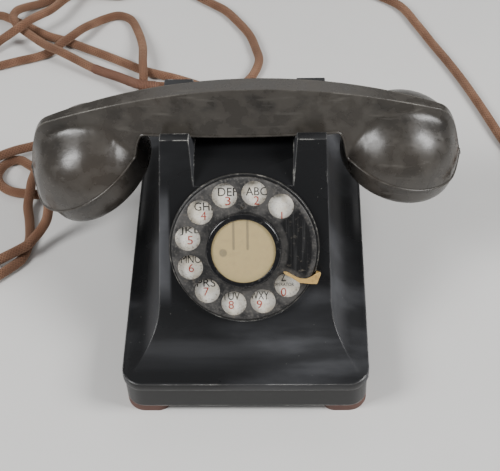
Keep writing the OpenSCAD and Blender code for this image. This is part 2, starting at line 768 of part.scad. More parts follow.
// Lower edge: flat under the handle, then down a round corner to each cup's rim.
function rim_z(c, x) = c[1] + (x - c[0]) * tan(c[3]);
function inner_x(c) = c[0] + (c[3] > 0 ? 1 : -1) * c[2] * cos(c[3]);
function outer_x(c) = c[0] - (c[3] > 0 ? 1 : -1) * c[2] * cos(c[3]);
function dome_low(c, x) = let (p = x - c[0], cs = cos(c[3]), sn = sin(c[3]),
        r2 = c[2] * c[2], h2 = dome_h * dome_h,
        a = sn * sn / r2 + cs * cs / h2, b = 2 * p * cs * sn * (1 / r2 - 1 / h2),
        k = p * p * (cs * cs / r2 + sn * sn / h2) - 1)
    c[1] + (-b - sqrt(ramp(b * b - 4 * a * k))) / (2 * a);
function lower(x) = let (c = x < 0 ? tx : rx, in = abs(inner_x(c)), out = abs(outer_x(c)),
        t = (in - abs(x)) / under_run)
    abs(x) >= out ? max(rim_z(c, x), dome_low(c, x)) : abs(x) >= in ? rim_z(c, x) :
    t < 1 ? rim_z(c, inner_x(c)) + (under_z - rim_z(c, inner_x(c))) * sqrt(1 - pow(1 - t, 2)) : under_z;

side_steps = 10;
function section(x) = let (top = crest(x), low = min(lower(x), top - 1.5))
    [for (i = [0 : 2 * side_steps + 1]) let (j = i <= side_steps ? i : 2 * side_steps + 1 - i,
        z = top + (low - top) * pow(j / side_steps, 0.9),
        y = j == 0 ? crest_w(x) * end_round(x) : half_w(x, z))
        [x, i <= side_steps ? y : -y, z]];
stations = concat([tx_end + 0.1, -118.6, -117.6, -116], [for (x = [-114 : 5 : -64]) x],
    [-60.5, -58.5, -57.8, -57, -56, -54.5, -52.5], [for (x = [-46 : 9 : 44]) x],
    [49, 51, 52.5, 53.5, 54.2, 55, 57], [for (x = [61 : 5 : 111]) x], [113.5, 115.2, 116.4, rx_end - 0.1]);

module skin(rings) {
    n = len(rings[0]);
    m = len(rings);
    polyhedron(points = [for (r = rings, p = r) p], faces = concat(
        [[for (i = [0 : n - 1]) i]], [[for (i = [n - 1 : -1 : 0]) (m - 1) * n + i]],
        [for (k = [0 : m - 2], i = [0 : n - 1]) let (j = (i + 1) % n)
            each [[k * n + i, (k + 1) * n + i, (k + 1) * n + j],
                [k * n + i, (k + 1) * n + j, k * n + j]]]));
}

module at_handset() { translate([0, handset_y, 0]) rotate([0, 0, handset_yaw]) children(); }
// A cup's own frame: Z = 0 on the rim, +Z out of the cup.
module at_cup(c) { translate([c[0], 0, c[1]]) rotate([0, 180 - c[3], 0]) children(); }

cup_wall = 5.4;
wire_way = [[-90, 0, under_z - 13.3], [-66, 0, under_z + 5.7], [62, 0, under_z + 5.7],
    [85, 0, under_z - 7.3]];
module rod(a, b, r) {
    d = b - a;
    over = r;
    translate(a - over * d / norm(d)) rotate([0, acos(d[2] / norm(d)), atan2(d[1], d[0])])
        cylinder(r = r, h = norm(d) + 2 * over);
}

unit_deep = 10;
module handset_handle() {
    color([0.2, 0.18, 0.16]) at_handset() difference() {
        skin([for (x = stations) section(x)]);
        for (c = [tx, rx]) at_cup(c) {
            translate([0, 0, -unit_deep]) cylinder(r = c[2] - cup_wall, h = unit_deep + 30);
            translate([0, 0, -unit_deep - 6]) cylinder(r = 16, h = 7);
        }
        for (k = [0 : 2]) rod(wire_way[k], wire_way[k + 1], 3);
    }
}

// Screw cap: side wall, rounded edge and a face with sound holes.
module cap(c, depth, rings) {
    r = c[2] + 0.4;
    t = 2.6;
    at_handset() at_cup(c) difference() {
        rotate_extrude() polygon([[r - 3, 0], [r - 0.4, 0], [r, 0.5], [r, depth * 0.55],
            [r - 0.6, depth * 0.8], [r - 2, depth * 0.93], [r - 4, depth], [0, depth], [0, depth - t],
            [r - 3, depth - t]]);
        for (k = [0 : len(rings) - 1]) for (i = [0 : rings[k][1] - 1]) rotate([0, 0, 360 * i / rings[k][1]])
            translate([rings[k][0], 0, depth - t - 1]) cylinder(r = 1.3, h = t + 2, $fn = 20);
    }
}

module transmitter_cap() {
    color([0.17, 0.155, 0.14]) cap(tx, tx_cap, [[0, 1], [7, 6], [14, 12]]);
}

module receiver_cap() {
    color([0.17, 0.155, 0.14]) cap(rx, rx_cap, [[0, 1], [6, 6]]);
}

module capsule(c, depth) {
    r = c[2] - cup_wall - floor_gap;
    at_handset() at_cup(c) translate([0, 0, -unit_deep]) rotate_extrude()
        polygon([[0, 0], [r - 3, 0], [r, 3], [r, unit_deep + depth - 2.6], [0, unit_deep + depth - 2.6]]);
}

module transmitter_unit() { color([0.5, 0.5, 0.52]) capsule(tx, tx_cap); }
module receiver_unit() { color([0.55, 0.5, 0.42]) capsule(rx, rx_cap); }

module transmitter_contacts() {
    color([0.78, 0.66, 0.36]) at_handset() at_cup(tx) {
        translate([0, 0, -unit_deep - 6]) cylinder(r = 4, h = 6);
        translate([8, -2, -unit_deep - 6]) cube([6, 4, 6]);
        translate([-14, -2, -unit_deep - 6]) cube([6, 4, 6]);
    }
}

// Tapered strain relief through the rear wall of the transmitter cup.
gland_from = [-113, 38, under_z - 38.3];
gland_to = [-113.5, 38.5, under_z - 47.3];
module handset_gland() {
    d = gland_to - gland_from;
    color([0.12, 0.11, 0.1]) translate(gland_from) rotate([0, acos(d[2] / norm(d)), atan2(d[1], d[0])])
        cylinder(r1 = cord_d / 2 + 1.2, r2 = cord_d / 2 + 0.5, h = norm(d), $fn = 32);
}

// ---------- cords ----------

// Handset cord: from the transmitter cup down to the floor, in loose turns, to the base.
handset_route = [gland_to - [0, 0, 0.4], [-114, 39, 54], [-115, 37, 47], [-121, 29, 38], [-119, 27, 30],
    [-120, 25, 23], [-122, 23, 17.5], [-126, 19, 13], [-130, 15, 10.6], [-133, 11, 10], [-144, 5, 8],
    [-154, 3, 4], [-167, 3, 3], [-180, 2, 3], [-191, -6, 3], [-193, -18, 3], [-185, -27, 3],
    [-172, -25, 3], [-158, -14, 3], [-141, 1, 3], [-136, 8, 3], [-134, 21, 3], [-136, 36, 3],
    [-138, 46, 5.5], [-137, 55, 9.7], [-137, 64, 9.8], [-134, 77, 9.8], [-128, 89, 5.5], [-116, 95, 3],
    [-104, 89, 3], [-103, 76, 3], [-113, 68, 3], [-126, 71, 3], [-142, 83, 3], [-150, 88, 3],
    [-157, 85.5, 3], [-161, 79, 3], [-161, 71, 3], [-156, 64, 3], [-148, 60, 3], [-133, 58, 3],
    [-119, 55, 3], [-104, 57, 3], [-93, 66, 3], [-89, 80, 3], [-94, 94, 3], [-108, 102, 4],
    [-126, 101, 7], [-142, 94, 9], [-152, 90, 9.5], [-160, 86, 9.4], [-174, 82, 6], [-187, 82, 3],
    [-203, 85, 3], [-218, 93, 3], [-227, 107, 3], [-229, 124, 3], [-225, 141, 3], [-214, 156, 3],
    [-199, 167, 3], [-186, 174, 3], [-174, 179, 3], [-163, 183, 3], [-151, 187, 3], [-142, 192, 3.4],
    [-135, 196, 7], [-128, 200.5, 9.5], [-121, 210, 8.5], [-114, 220, 5], [-107, 227, 3], [-98, 230, 3],
    [-89, 225, 3], [-83, 212, 3.4], [-78, 193, 6.4], [-76, 173, 9.6], [-75, 163, 7.5], [-75, 154, 3.4],
    [-74, 142, 3], [-67, 129, 3], [-55, 120, 3.5], [-47, 114, 7], [-45, 107, 12.5], [-45, 99.5, 14.5],
    [-45, 93, 14.5]];

// Line cord: from the base in loose turns to its coil.
line_route = [[-20, 93, 14.5], [-20, 99.5, 14.5], [-20, 108, 12], [-20, 118, 6.5], [-22, 130, 3],
    [-30, 142, 3], [-43, 150, 4], [-60, 151, 7], [-68, 149, 9.7], [-78, 151, 9.7], [-92, 161, 7],
    [-109, 170, 6.5], [-124, 179, 8], [-135, 185, 9.8], [-146, 192, 9.8], [-157, 202, 9.6],
    [-167, 212, 9.6], [-172, 221, 9.7], [-171, 229, 9.2], [-166, 237, 6], [-158, 244, 3],
    [-150, 248, 3], [-139, 254, 3], [-127, 265, 3], [-113, 274, 3], [-99, 277, 3], [-87.5, 270, 3],
    [-87, 259, 3], [-97, 252.5, 3], [-109, 252.5, 3.5], [-121, 252.5, 5.5], [-133, 246, 9.5],
    [-144, 225, 14], [-150, 217, 16], [-157, 211, 16.2], [-164, 203, 16], [-171, 200, 12.5],
    [-178, 199, 8], [-189, 191, 4], [-200, 189, 3], [-210, 196, 3], [-214, 208, 3], [-209, 221, 3],
    [-198, 230, 3], [-185, 232, 3], [-178, 229, 3], [-170, 224, 3], [-162, 219, 3], [-147, 209, 3],
    [-133, 203, 3], [-118, 195, 3], [-103, 187, 3], [-89, 179, 3], [-75, 171, 3], [-57, 164.5, 3],
    [-44, 159, 3], [-31, 153, 3], [-20, 150.5, 3], [-10, 154, 3], [-3, 162, 3], [1, 171, 3],
    [3, 181, 3], [1, 191, 3], [-4, 207, 3], [-13, 222, 3], [-22, 234, 3], [-33, 243, 3], [-47, 255, 3],
    [-49, 266, 3], [-41, 275, 3], [-28, 277, 3], [-10, 275, 3], [15, 271, 3], [45, 265, 3],
    [72, 257, 3], [90, 247, 3], [104, 235, 3], [114, 215, 3], [123, 195, 3], [132, 176, 3],
    [141, 155, 3], [150, 131, 3], [158, 108, 3], [163, 96, 3], [167, 88, 3.5]];
// Last stretch, from the coil to the plug.
tail_route = [[198, 55, 9], [204, 51.5, 9], [209.5, 46, 9], [212, 40, 9], [212, 36, 9]];

module tube(route, r, sides) {
    n = len(route);
    function dir(k) = let (a = route[max(k - 1, 0)], b = route[min(k + 1, n - 1)], d = b - a) d / norm(d);
    skin([for (k = [0 : n - 1]) let (d = dir(k), u = cross([0, 0, 1], d),
        un = norm(u) < 0.05 ? [0, 1, 0] : u / norm(u), v = cross(d, un))
            [for (i = [0 : sides - 1]) let (a = 360 * i / sides)
                route[k] + r * (cos(a) * un + sin(a) * v)]]);
}

module handset_cord() { color([0.45, 0.28, 0.2]) tube(handset_route, cord_d / 2, 8); }

module line_cord() {
    color([0.45, 0.28, 0.2]) {
        tube(line_route, cord_d / 2, 8);
        tube(tail_route, cord_d / 2, 8);
    }
}

coil_at = [207, 92];
coil_wide = 2 * cord_d + 0.4;         // two turns side by side and two on top of each other
module line_coil() {
    r = coil_r;
    h = coil_wide / 2;
    color([0.45, 0.28, 0.2]) translate([coil_at[0], coil_at[1], h]) rotate_extrude()
        polygon([[r - h, 1.8 - h], [r + 1.8 - h, -h], [r - 1.8 + h, -h], [r + h, 1.8 - h],
            [r + h, h - 1.8], [r - 1.8 + h, h], [r + 1.8 - h, h], [r - h, h - 1.8]]);
}

// Four-pin plug lying on the floor beside the coil, its pins towards -Y.
plug_w = 36;
plug_l = 34;
plug_h = 18;
collar_l = 10;
plug_at = [212, 36];
module plug_body() {
    color([0.2, 0.14, 0.1]) translate([plug_at[0], plug_at[1], plug_h / 2]) rotate([90, 0, 0]) {
        cylinder(r1 = cord_d / 2 + 1.6, r2 = 7.5, h = collar_l);
        translate([0, 0, collar_l]) intersection() {
            translate([-plug_w / 2, -plug_h / 2, 0]) cube([plug_w, plug_h, plug_l]);
            cylinder(r = 19, h = plug_l);
        }
    }
}

module plug_pins() {
    color([0.8, 0.7, 0.4]) translate([plug_at[0], plug_at[1] - collar_l - plug_l, plug_h / 2])
        rotate([90, 0, 0]) for (p = [[-12, 0], [12, 0], [-5, 5], [5, 5]])
            translate([p[0], p[1] - 2, 0]) cylinder(r = 2.2, h = 12, $fn = 32);
}

housing();
base_plate();
feet();
base_screws();
base_grommets();
dial_frame();
number_plate();
finger_stop();
finger_wheel();
card_holder();
number_card();
card_window();
card_retainer();
dial_shaft();
main_gear();
main_spring();
pulse_pinion();
pulse_springs();
governor_cup();
governor();
dial_screws();
hook_bracket();
hook_pin();
hook_lever();
plungers();
hook_switch();
hook_screws();
ringer_frame();
ringer_coils();
ringer_magnet();
clapper();
gongs();
gong_screws();
condenser();
induction_coil();
terminal_block();
terminal_screws();
handset_handle();
transmitter_cap();
receiver_cap();
transmitter_unit();
receiver_unit();
transmitter_contacts();
handset_gland();
handset_cord();
line_cord();
line_coil();
plug_body();
plug_pins();
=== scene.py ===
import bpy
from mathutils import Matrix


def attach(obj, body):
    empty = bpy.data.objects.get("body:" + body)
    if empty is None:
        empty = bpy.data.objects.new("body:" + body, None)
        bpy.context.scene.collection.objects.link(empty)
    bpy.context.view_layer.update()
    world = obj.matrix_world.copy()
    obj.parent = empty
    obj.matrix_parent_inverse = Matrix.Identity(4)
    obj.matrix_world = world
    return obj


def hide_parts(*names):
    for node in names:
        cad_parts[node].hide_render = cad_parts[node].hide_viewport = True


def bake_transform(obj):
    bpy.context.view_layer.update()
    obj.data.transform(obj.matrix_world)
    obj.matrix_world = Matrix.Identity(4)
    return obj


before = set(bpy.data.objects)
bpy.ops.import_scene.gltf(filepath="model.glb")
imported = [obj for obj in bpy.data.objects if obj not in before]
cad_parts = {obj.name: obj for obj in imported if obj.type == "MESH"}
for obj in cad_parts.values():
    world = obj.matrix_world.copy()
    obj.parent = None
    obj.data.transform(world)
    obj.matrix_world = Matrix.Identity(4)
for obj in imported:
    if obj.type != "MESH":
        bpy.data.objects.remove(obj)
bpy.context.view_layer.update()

import math

import bmesh
import bpy
from mathutils import Matrix, Vector

# ---------- camera ----------
# It stands in front of the desk and looks down on the telephone, turned a little to its left.
# Its lens is long, so that the telephone nearly fills the frame from two thirds of a metre.
camera_aim = Vector((0.00155, -0.0086, 0.0413))
camera_distance = 0.6708
camera_elevation, camera_yaw, camera_roll = math.radians(50), math.radians(-3.3), math.radians(-2.9)
ahead = Vector((
    math.sin(camera_yaw) * math.cos(camera_elevation),
    math.cos(camera_yaw) * math.cos(camera_elevation),
    -math.sin(camera_elevation),
))
level = Vector((math.cos(camera_yaw), -math.sin(camera_yaw), 0))
upright = level.cross(ahead)
camera_right = level * math.cos(camera_roll) + upright * math.sin(camera_roll)
camera_up = upright * math.cos(camera_roll) - level * math.sin(camera_roll)
camera = bpy.data.objects.new("camera", bpy.data.cameras.new("camera"))
bpy.context.scene.collection.objects.link(camera)
camera.data.lens = 86.04
camera.matrix_world = Matrix.Translation(camera_aim - ahead * camera_distance) @ Matrix(
    (camera_right, camera_up, -ahead)).transposed().to_4x4()
bpy.context.scene.camera = camera

# ---------- handset cord ----------
# A limp three-wire cord under a brown cotton braid. It leaves the transmitter cup through a rubber
# gland, drops to the desk, lies in loose turns to the left and ends in the base's rear wall.
mm = 0.001
cord_radius = 3.0
handset_route = [
    (-113.5, 38.5, 59.6), (-114, 39, 54), (-115, 37, 47), (-121, 29, 38), (-119, 27, 30),
    (-120, 25, 23), (-122, 23, 17.5), (-126, 19, 13), (-130, 15, 10.6), (-133, 11, 10), (-144, 5, 8),
    (-154, 3, 4), (-167, 3, 3), (-180, 2, 3), (-191, -6, 3), (-193, -18, 3), (-185, -27, 3),
    (-172, -25, 3), (-158, -14, 3), (-141, 1, 3), (-136, 8, 3), (-134, 21, 3), (-136, 36, 3),
    (-138, 46, 5.5), (-137, 55, 9.7), (-137, 64, 9.8), (-134, 77, 9.8), (-128, 89, 5.5), (-116, 95, 3),
    (-104, 89, 3), (-103, 76, 3), (-113, 68, 3), (-126, 71, 3), (-142, 83, 3), (-150, 88, 3),
    (-157, 85.5, 3), (-161, 79, 3), (-161, 71, 3), (-156, 64, 3), (-148, 60, 3), (-133, 58, 3),
    (-119, 55, 3), (-104, 57, 3), (-93, 66, 3), (-89, 80, 3), (-94, 94, 3), (-108, 102, 4),
    (-126, 101, 7), (-142, 94, 9), (-152, 90, 9.5), (-160, 86, 9.4), (-174, 82, 6), (-187, 82, 3),
    (-203, 85, 3), (-218, 93, 3), (-227, 107, 3), (-229, 124, 3), (-225, 141, 3), (-214, 156, 3),
    (-199, 167, 3), (-186, 174, 3), (-174, 179, 3), (-163, 183, 3), (-151, 187, 3), (-142, 192, 3.4),
    (-135, 196, 7), (-128, 200.5, 9.5), (-121, 210, 8.5), (-114, 220, 5), (-107, 227, 3), (-98, 230, 3),
    (-89, 225, 3), (-83, 212, 3.4), (-78, 193, 6.4), (-76, 173, 9.6), (-75, 163, 7.5), (-75, 154, 3.4),
    (-74, 142, 3), (-67, 129, 3), (-55, 120, 3.5), (-47, 114, 7), (-45, 107, 12.5), (-45, 99.5, 14.5),
    (-45, 93, 14.5)]


def run_through(points, step):
    """Even steps along a smooth line through the points, which are in millimetres."""
    points = [Vector(p) for p in points]
    points = [2 * points[0] - points[1], *points, 2 * points[-1] - points[-2]]
    dense = []
    for a, b, c, d in zip(points, points[1:], points[2:], points[3:]):
        for i in range(12):
            t = i / 12
            dense.append(0.5 * (2 * b + (c - a) * t + (2 * a - 5 * b + 4 * c - d) * t * t
                                + (3 * b - a - 3 * c + d) * t ** 3))
    dense.append(points[-2])
    even, left = [dense[0]], step
    for a, b in zip(dense, dense[1:]):
        span = (b - a).length
        while left <= span:
            even.append(a.lerp(b, left / span))
            left += step
        left -= span
    if (even[-1] - dense[-1]).length > step / 2:
        even.append(dense[-1])
    else:
        even[-1] = dense[-1]
    return even


def length_of(line):
    return sum((b - a).length for a, b in zip(line, line[1:]))


def piece(name, points, faces, sharp_above=32):
    """A mesh object from points in millimetres, smooth apart from its sharp edges."""
    mesh = bpy.data.meshes.new(name)
    mesh.from_pydata([Vector(p) * mm for p in points], [], faces)
    mesh.validate()
    mesh.shade_smooth()
    mesh.set_sharp_from_angle(angle=math.radians(sharp_above))
    made = bpy.data.objects.new(name, mesh)
    bpy.context.scene.collection.objects.link(made)
    return made


def skin(rows, n):
    """Faces between rows of n points each, round and round."""
    return [(k * n + i, k * n + (i + 1) % n, (k + 1) * n + (i + 1) % n, (k + 1) * n + i)
            for k in range(rows - 1) for i in range(n)]


def caps(rows, n):
    """The two end faces of a skin."""
    return [tuple(range(n))[::-1], tuple(range((rows - 1) * n, rows * n))]


def braided_tube(name, line, radius, sides=14):
    """A round tube along a line, with millimetres along it and turns round it in its UV map."""
    reach = radius if callable(radius) else lambda along: radius
    points, along = [], 0.0
    side = None
    marks = []
    for k, at in enumerate(line):
        ahead_of = (line[min(k + 1, len(line) - 1)] - line[max(k - 1, 0)]).normalized()
        side = ahead_of.orthogonal() if side is None else side - ahead_of * side.dot(ahead_of)
        side.normalize()
        over = ahead_of.cross(side)
        if k:
            along += (at - line[k - 1]).length
        marks.append(along)
        for i in range(sides):
            turn = math.tau * i / sides
            points.append(at + reach(along) * (math.cos(turn) * side + math.sin(turn) * over))
    made = piece(name, points, skin(len(line), sides) + caps(len(line), sides), sharp_above=60)
    uv = made.data.uv_layers.new(name="braid")
    for polygon in made.data.polygons:
        whole = polygon.loop_total == 4
        for loop in polygon.loop_indices:
            k, i = divmod(made.data.loops[loop].vertex_index, sides)
            if whole and i == 0 and polygon.index % sides == sides - 1:
                i = sides
            uv.data[loop].uv = (marks[k], i / sides)
    return made


class Value:
    """A socket that takes arithmetic; every step is a Math node."""

    def __init__(self, finish, socket):
        self.finish, self.socket = finish, socket

    def math(self, operation, *values):
        return self.finish.node("ShaderNodeMath", {"operation": operation}, dict(enumerate(values)))

    def __add__(self, other):
        return self.math("ADD", self, other)

    def __radd__(self, other):
        return self.math("ADD", other, self)

    def __sub__(self, other):
        return self.math("SUBTRACT", self, other)

    def __rsub__(self, other):
        return self.math("SUBTRACT", other, self)

    def __mul__(self, other):
        return self.math("MULTIPLY", self, other)

    def __rmul__(self, other):
        return self.math("MULTIPLY", other, self)

    def __truediv__(self, other):
        return self.math("DIVIDE", self, other)

    def __abs__(self):
        return self.math("ABSOLUTE", self)

    def away_from(self, other):
        """The length of the diagonal with sides self and other."""
        return self.math("SQRT", self * self + other * other)

    def wave(self):
        return self.math("SINE", self)

    def between(self, low, high):
        """0 below low, 1 above high and smooth between them."""
        return self.finish.node("ShaderNodeMapRange", {"interpolation_type": "SMOOTHSTEP"},
                                {"Value": self, "From Min": low, "From Max": high})


class Finish:
    """A surface finish: one Principled shader and the nodes that feed it."""

    def __init__(self, name, constants=None):
        self.material = bpy.data.materials.new(name)
        self.material.use_nodes = True
        self.tree = self.material.node_tree
        self.shader = self.tree.nodes["Principled BSDF"]
        for socket, value in (constants or {}).items():
            self.feed(self.shader.inputs[socket], value)

    def feed(self, socket, value):
        if isinstance(value, Value):
            self.tree.links.new(value.socket, socket)
        elif socket.type == "RGBA":
            socket.default_value = (*value[:3], 1)
        else:
            socket.default_value = value

    def node(self, kind, settings=None, inputs=None, output=0):
        made = self.tree.nodes.new(kind)
        for setting, value in (settings or {}).items():
            setattr(made, setting, value)
        for socket, value in (inputs or {}).items():
            self.feed(made.inputs[socket], value)
        return Value(self, made.outputs[output])

    def parts(self, vector):
        """The X, Y and Z of a vector."""
        split = self.node("ShaderNodeSeparateXYZ", {}, {0: vector})
        return [Value(self, socket) for socket in split.socket.node.outputs]

    def place(self, squeeze=(1, 1, 1)):
        """Object coordinates in metres, stretched by the squeeze."""
        at = self.node("ShaderNodeTexCoord", output="Object")
        return self.node("ShaderNodeVectorMath", {"operation": "MULTIPLY"}, {0: at, 1: squeeze})

    def noise(self, scale, detail=3.0, squeeze=(1, 1, 1), at=None):
        return self.node("ShaderNodeTexNoise", {}, {
            "Vector": at or self.place(squeeze), "Scale": scale, "Detail": detail})

    def specks(self, scale, size, at=None):
        """1 inside scattered round specks, 0 between them."""
        spread = self.node("ShaderNodeTexVoronoi", {}, {"Vector": at or self.place(), "Scale": scale})
        return 1 - spread.between(size * 0.6, size)

    def blend(self, mask, under, over):
        return self.node("ShaderNodeMix", {"data_type": "RGBA"}, {0: mask, 6: under, 7: over}, output=2)

    def edges(self, width, low=0.015, high=0.12):
        """1 along the piece's edges, 0 on its open faces."""
        eased = self.node("ShaderNodeBevel", {"samples": 6}, {"Radius": width * mm})
        true = self.node("ShaderNodeNewGeometry", output="Normal")
        facing = self.node("ShaderNodeVectorMath", {"operation": "DOT_PRODUCT"},
                           {0: eased, 1: true}, output=1)
        return (1 - facing).between(low, high)

    def bump(self, height, depth, strength=1.0, easing=0.0):
        """Raises the surface by a height of 0 to 1 times the depth in millimetres."""
        inputs = {"Height": height, "Distance": depth * mm, "Strength": strength}
        if easing:
            inputs["Normal"] = self.node("ShaderNodeBevel", {"samples": 6}, {"Radius": easing * mm})
        self.set("Normal", self.node("ShaderNodeBump", {}, inputs))

    def set(self, socket, value):
        self.feed(self.shader.inputs[socket], value)


def cotton_braid():
    """Brown cotton yarns, plaited at a steep angle, faded and grimy in patches, with painted shade between
    the yarns.
    """
    finish = Finish("brown_cotton_braid", {"Specular IOR Level": 0.25, "Sheen Weight": 0.5,
                                           "Sheen Roughness": 0.55, "Sheen Tint": (0.85, 0.6, 0.42)})
    uv = finish.node("ShaderNodeUVMap", {"uv_map": "braid"})
    along, round_it = finish.parts(uv)[:2]
    yarns, lay = 8, 15.0
    right = ((along / lay + round_it) * (yarns * math.tau)).wave()
    left = ((along / lay - round_it) * (yarns * math.tau)).wave()
    yarn = right.math("MAXIMUM", right, left).between(-0.2, 1.0)
    grime = finish.noise(26, 5).between(0.4, 0.68)
    fading = finish.noise(70, 4).between(0.35, 0.7)
    worn = finish.blend(fading, (0.19, 0.089, 0.052), (0.32, 0.165, 0.1))
    cloth = finish.blend(grime * 0.65, worn, (0.11, 0.052, 0.033))
    # Dark between the yarns: painted shade in the braid's crevices.
    finish.set("Base Color", finish.blend(yarn * 0.75 + 0.25, (0.075, 0.032, 0.018), cloth))
    finish.set("Roughness", 0.92 - fading * 0.1)
    fuzz = finish.noise(1400, 2)
    finish.bump(yarn * 0.8 + fuzz * 0.3, 0.35)
    return finish.material


def dress(made, finish, body=None):
    """Gives a piece its finish and slot, and lets it ride on a body."""
    made.data.materials.clear()
    made.data.materials.append(finish)
    if body:
        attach(made, body)
    return made


braid = cotton_braid()
handset_line = run_through(handset_route, 2.0)
handset_cord = dress(braided_tube("handset_cord_braid", handset_line, cord_radius), braid)
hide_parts("handset_cord")
round(length_of(handset_line) * mm, 3)
[p * mm for p in handset_line[::3]] + [handset_line[-1] * mm]
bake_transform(handset_cord)

# ---------- line cord ----------
# The same braided cord from the base's other rear grommet, mended with a whipping of thread. It runs
# in loose turns behind the telephone to the right, where its spare length is wound in a flat coil,
# tied twice, beside the four-pin plug that it ends in.
line_route = [
    (-20, 93, 14.5), (-20, 99.5, 14.5), (-20, 108, 12), (-20, 118, 6.5), (-22, 130, 3), (-30, 142, 3),
    (-43, 150, 4), (-60, 151, 7), (-68, 149, 9.7), (-78, 151, 9.7), (-92, 161, 7), (-109, 170, 6.5),
    (-124, 179, 8), (-135, 185, 9.8), (-146, 192, 9.8), (-157, 202, 9.6), (-167, 212, 9.6),
    (-172, 221, 9.7), (-171, 229, 9.2), (-166, 237, 6), (-158, 244, 3), (-150, 248, 3), (-139, 254, 3),
    (-127, 265, 3), (-113, 274, 3), (-99, 277, 3), (-87.5, 270, 3), (-87, 259, 3), (-97, 252.5, 3),
    (-109, 252.5, 3.5), (-121, 252.5, 5.5), (-133, 246, 9.5), (-144, 225, 14), (-150, 217, 16),
    (-157, 211, 16.2), (-164, 203, 16), (-171, 200, 12.5), (-178, 199, 8), (-189, 191, 4),
    (-200, 189, 3), (-210, 196, 3), (-214, 208, 3), (-209, 221, 3), (-198, 230, 3), (-185, 232, 3),
    (-178, 229, 3), (-170, 224, 3), (-162, 219, 3), (-147, 209, 3), (-133, 203, 3), (-118, 195, 3),
    (-103, 187, 3), (-89, 179, 3), (-75, 171, 3), (-57, 164.5, 3), (-44, 159, 3), (-31, 153, 3),
    (-20, 150.5, 3), (-10, 154, 3), (-3, 162, 3), (1, 171, 3), (3, 181, 3), (1, 191, 3), (-4, 207, 3),
    (-13, 222, 3), (-22, 234, 3), (-33, 243, 3), (-47, 255, 3), (-49, 266, 3), (-41, 275, 3),
    (-28, 277, 3), (-10, 275, 3), (15, 271, 3), (45, 265, 3), (72, 257, 3), (90, 247, 3), (104, 235, 3),
    (114, 215, 3), (123, 195, 3), (132, 176, 3), (141, 155, 3), (150, 131, 3), (158, 108, 3),
    (163, 96, 3), (167, 88, 3.5)]
tail_route = [(198, 55, 9), (204, 51.5, 9), (209.5, 46, 9), (212, 40, 9), (212, 36, 9)]
coil_x, coil_y = 207, 92
outer_turn, inner_turn, lower_turn, upper_turn = 36.1, 30.0, 3.1, 9.2


def eased(value, start, end):
    """0 before start, 1 after end and smooth between them."""
    t = min(1, max(0, (value - start) / (end - start)))
    return t * t * (3 - 2 * t)


def coil_turns():
    """Four turns: outside and inside on the desk, then inside and outside on top of those."""
    turns = []
    for a in range(16, 1134, 9):
        r = outer_turn + (inner_turn - outer_turn) * (eased(a, 300, 360) - eased(a, 900, 960))
        z = lower_turn + (upper_turn - lower_turn) * eased(a, 600, 660)
        at = math.radians(197 + a)
        turns.append((coil_x + r * math.cos(at), coil_y + r * math.sin(at), z))
    return turns


line_line = run_through([*line_route, *coil_turns(), *tail_route], 2.0)
line_cord = dress(braided_tube("line_cord_braid", line_line, cord_radius), braid, "base")
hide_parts("line_cord", "line_coil")


thread_pitch = 0.9


def thread_finish():
    """Brown waxed thread, wound turn by turn."""
    finish = Finish("waxed_thread", {"Roughness": 0.7})
    uv = finish.node("ShaderNodeUVMap", {"uv_map": "braid"})
    turn = (finish.parts(uv)[0] * (math.tau / thread_pitch)).wave() * 0.5 + 0.5
    faded = finish.blend(finish.noise(60, 4), (0.2, 0.088, 0.053), (0.32, 0.16, 0.1))
    # Dark between the turns: painted shade in the grooves of the winding.
    finish.set("Base Color", finish.blend(turn * 0.7 + 0.3, (0.06, 0.025, 0.016), faded))
    finish.bump(turn, 0.3)
    return finish.material


thread = thread_finish()
whip_from, whip_to = Vector((-64, 150, 8.5)), Vector((-111, 171, 6.6))
whip_start, whip_end = sorted(min(range(len(line_line)), key=lambda k: (line_line[k] - spot).length)
                              for spot in (whip_from, whip_to))
whipped_line = run_through(line_line[whip_start:whip_end + 1], 0.24)
whip_length = length_of(whipped_line)


def whipped_radius(along):
    """The cord's radius under a layer of thread that thins out at both ends."""
    layer = eased(along, 0, 2) * (1 - eased(along, whip_length - 2, whip_length))
    return cord_radius + layer * (0.22 + 0.12 * math.sin(math.tau * along / thread_pitch))


cord_whipping = braided_tube("cord_whipping", whipped_line, whipped_radius)
dress(cord_whipping, thread, "base")
for number, angle in enumerate((20, 140)):
    at = math.radians(angle)
    out = Vector((math.cos(at), math.sin(at), 0))
    middle = Vector((coil_x, coil_y, 6.15)) + out * (outer_turn + inner_turn) / 2
    loop = []
    for i in range(49):
        turn = math.tau * i / 48
        c, s = math.cos(turn), math.sin(turn)
        loop.append(middle + out * 6.15 * math.copysign(abs(c) ** 0.55, c)
                    + Vector((0, 0, 5.65)) * math.copysign(abs(s) ** 0.55, s))
    tie = dress(braided_tube(f"coil_tie_{number + 1}", loop, 0.5, 8), thread, "base")


# ---------- plug ----------
# A moulded four-pin plug of brown phenolic resin. Its pins are turned brass, pressed in.
def phenolic(name, colour, shade, roughness):
    """Moulded resin: faintly marbled, with scuffs and a worn sheen on its edges."""
    finish = Finish(name)
    cloud = finish.noise(45, 5).between(0.35, 0.7)
    worn = finish.edges(0.8)
    scuffs = finish.noise(160, 6, (1, 3, 1)).between(0.58, 0.72)
    body = finish.blend(cloud, colour, shade)
    finish.set("Base Color", finish.blend(worn * 0.35 + scuffs * 0.12, body, (0.22, 0.19, 0.16)))
    finish.set("Roughness", roughness + cloud * 0.1 + scuffs * 0.15)
    finish.bump(finish.noise(900, 3), 0.04, easing=0.5)
    return finish.material


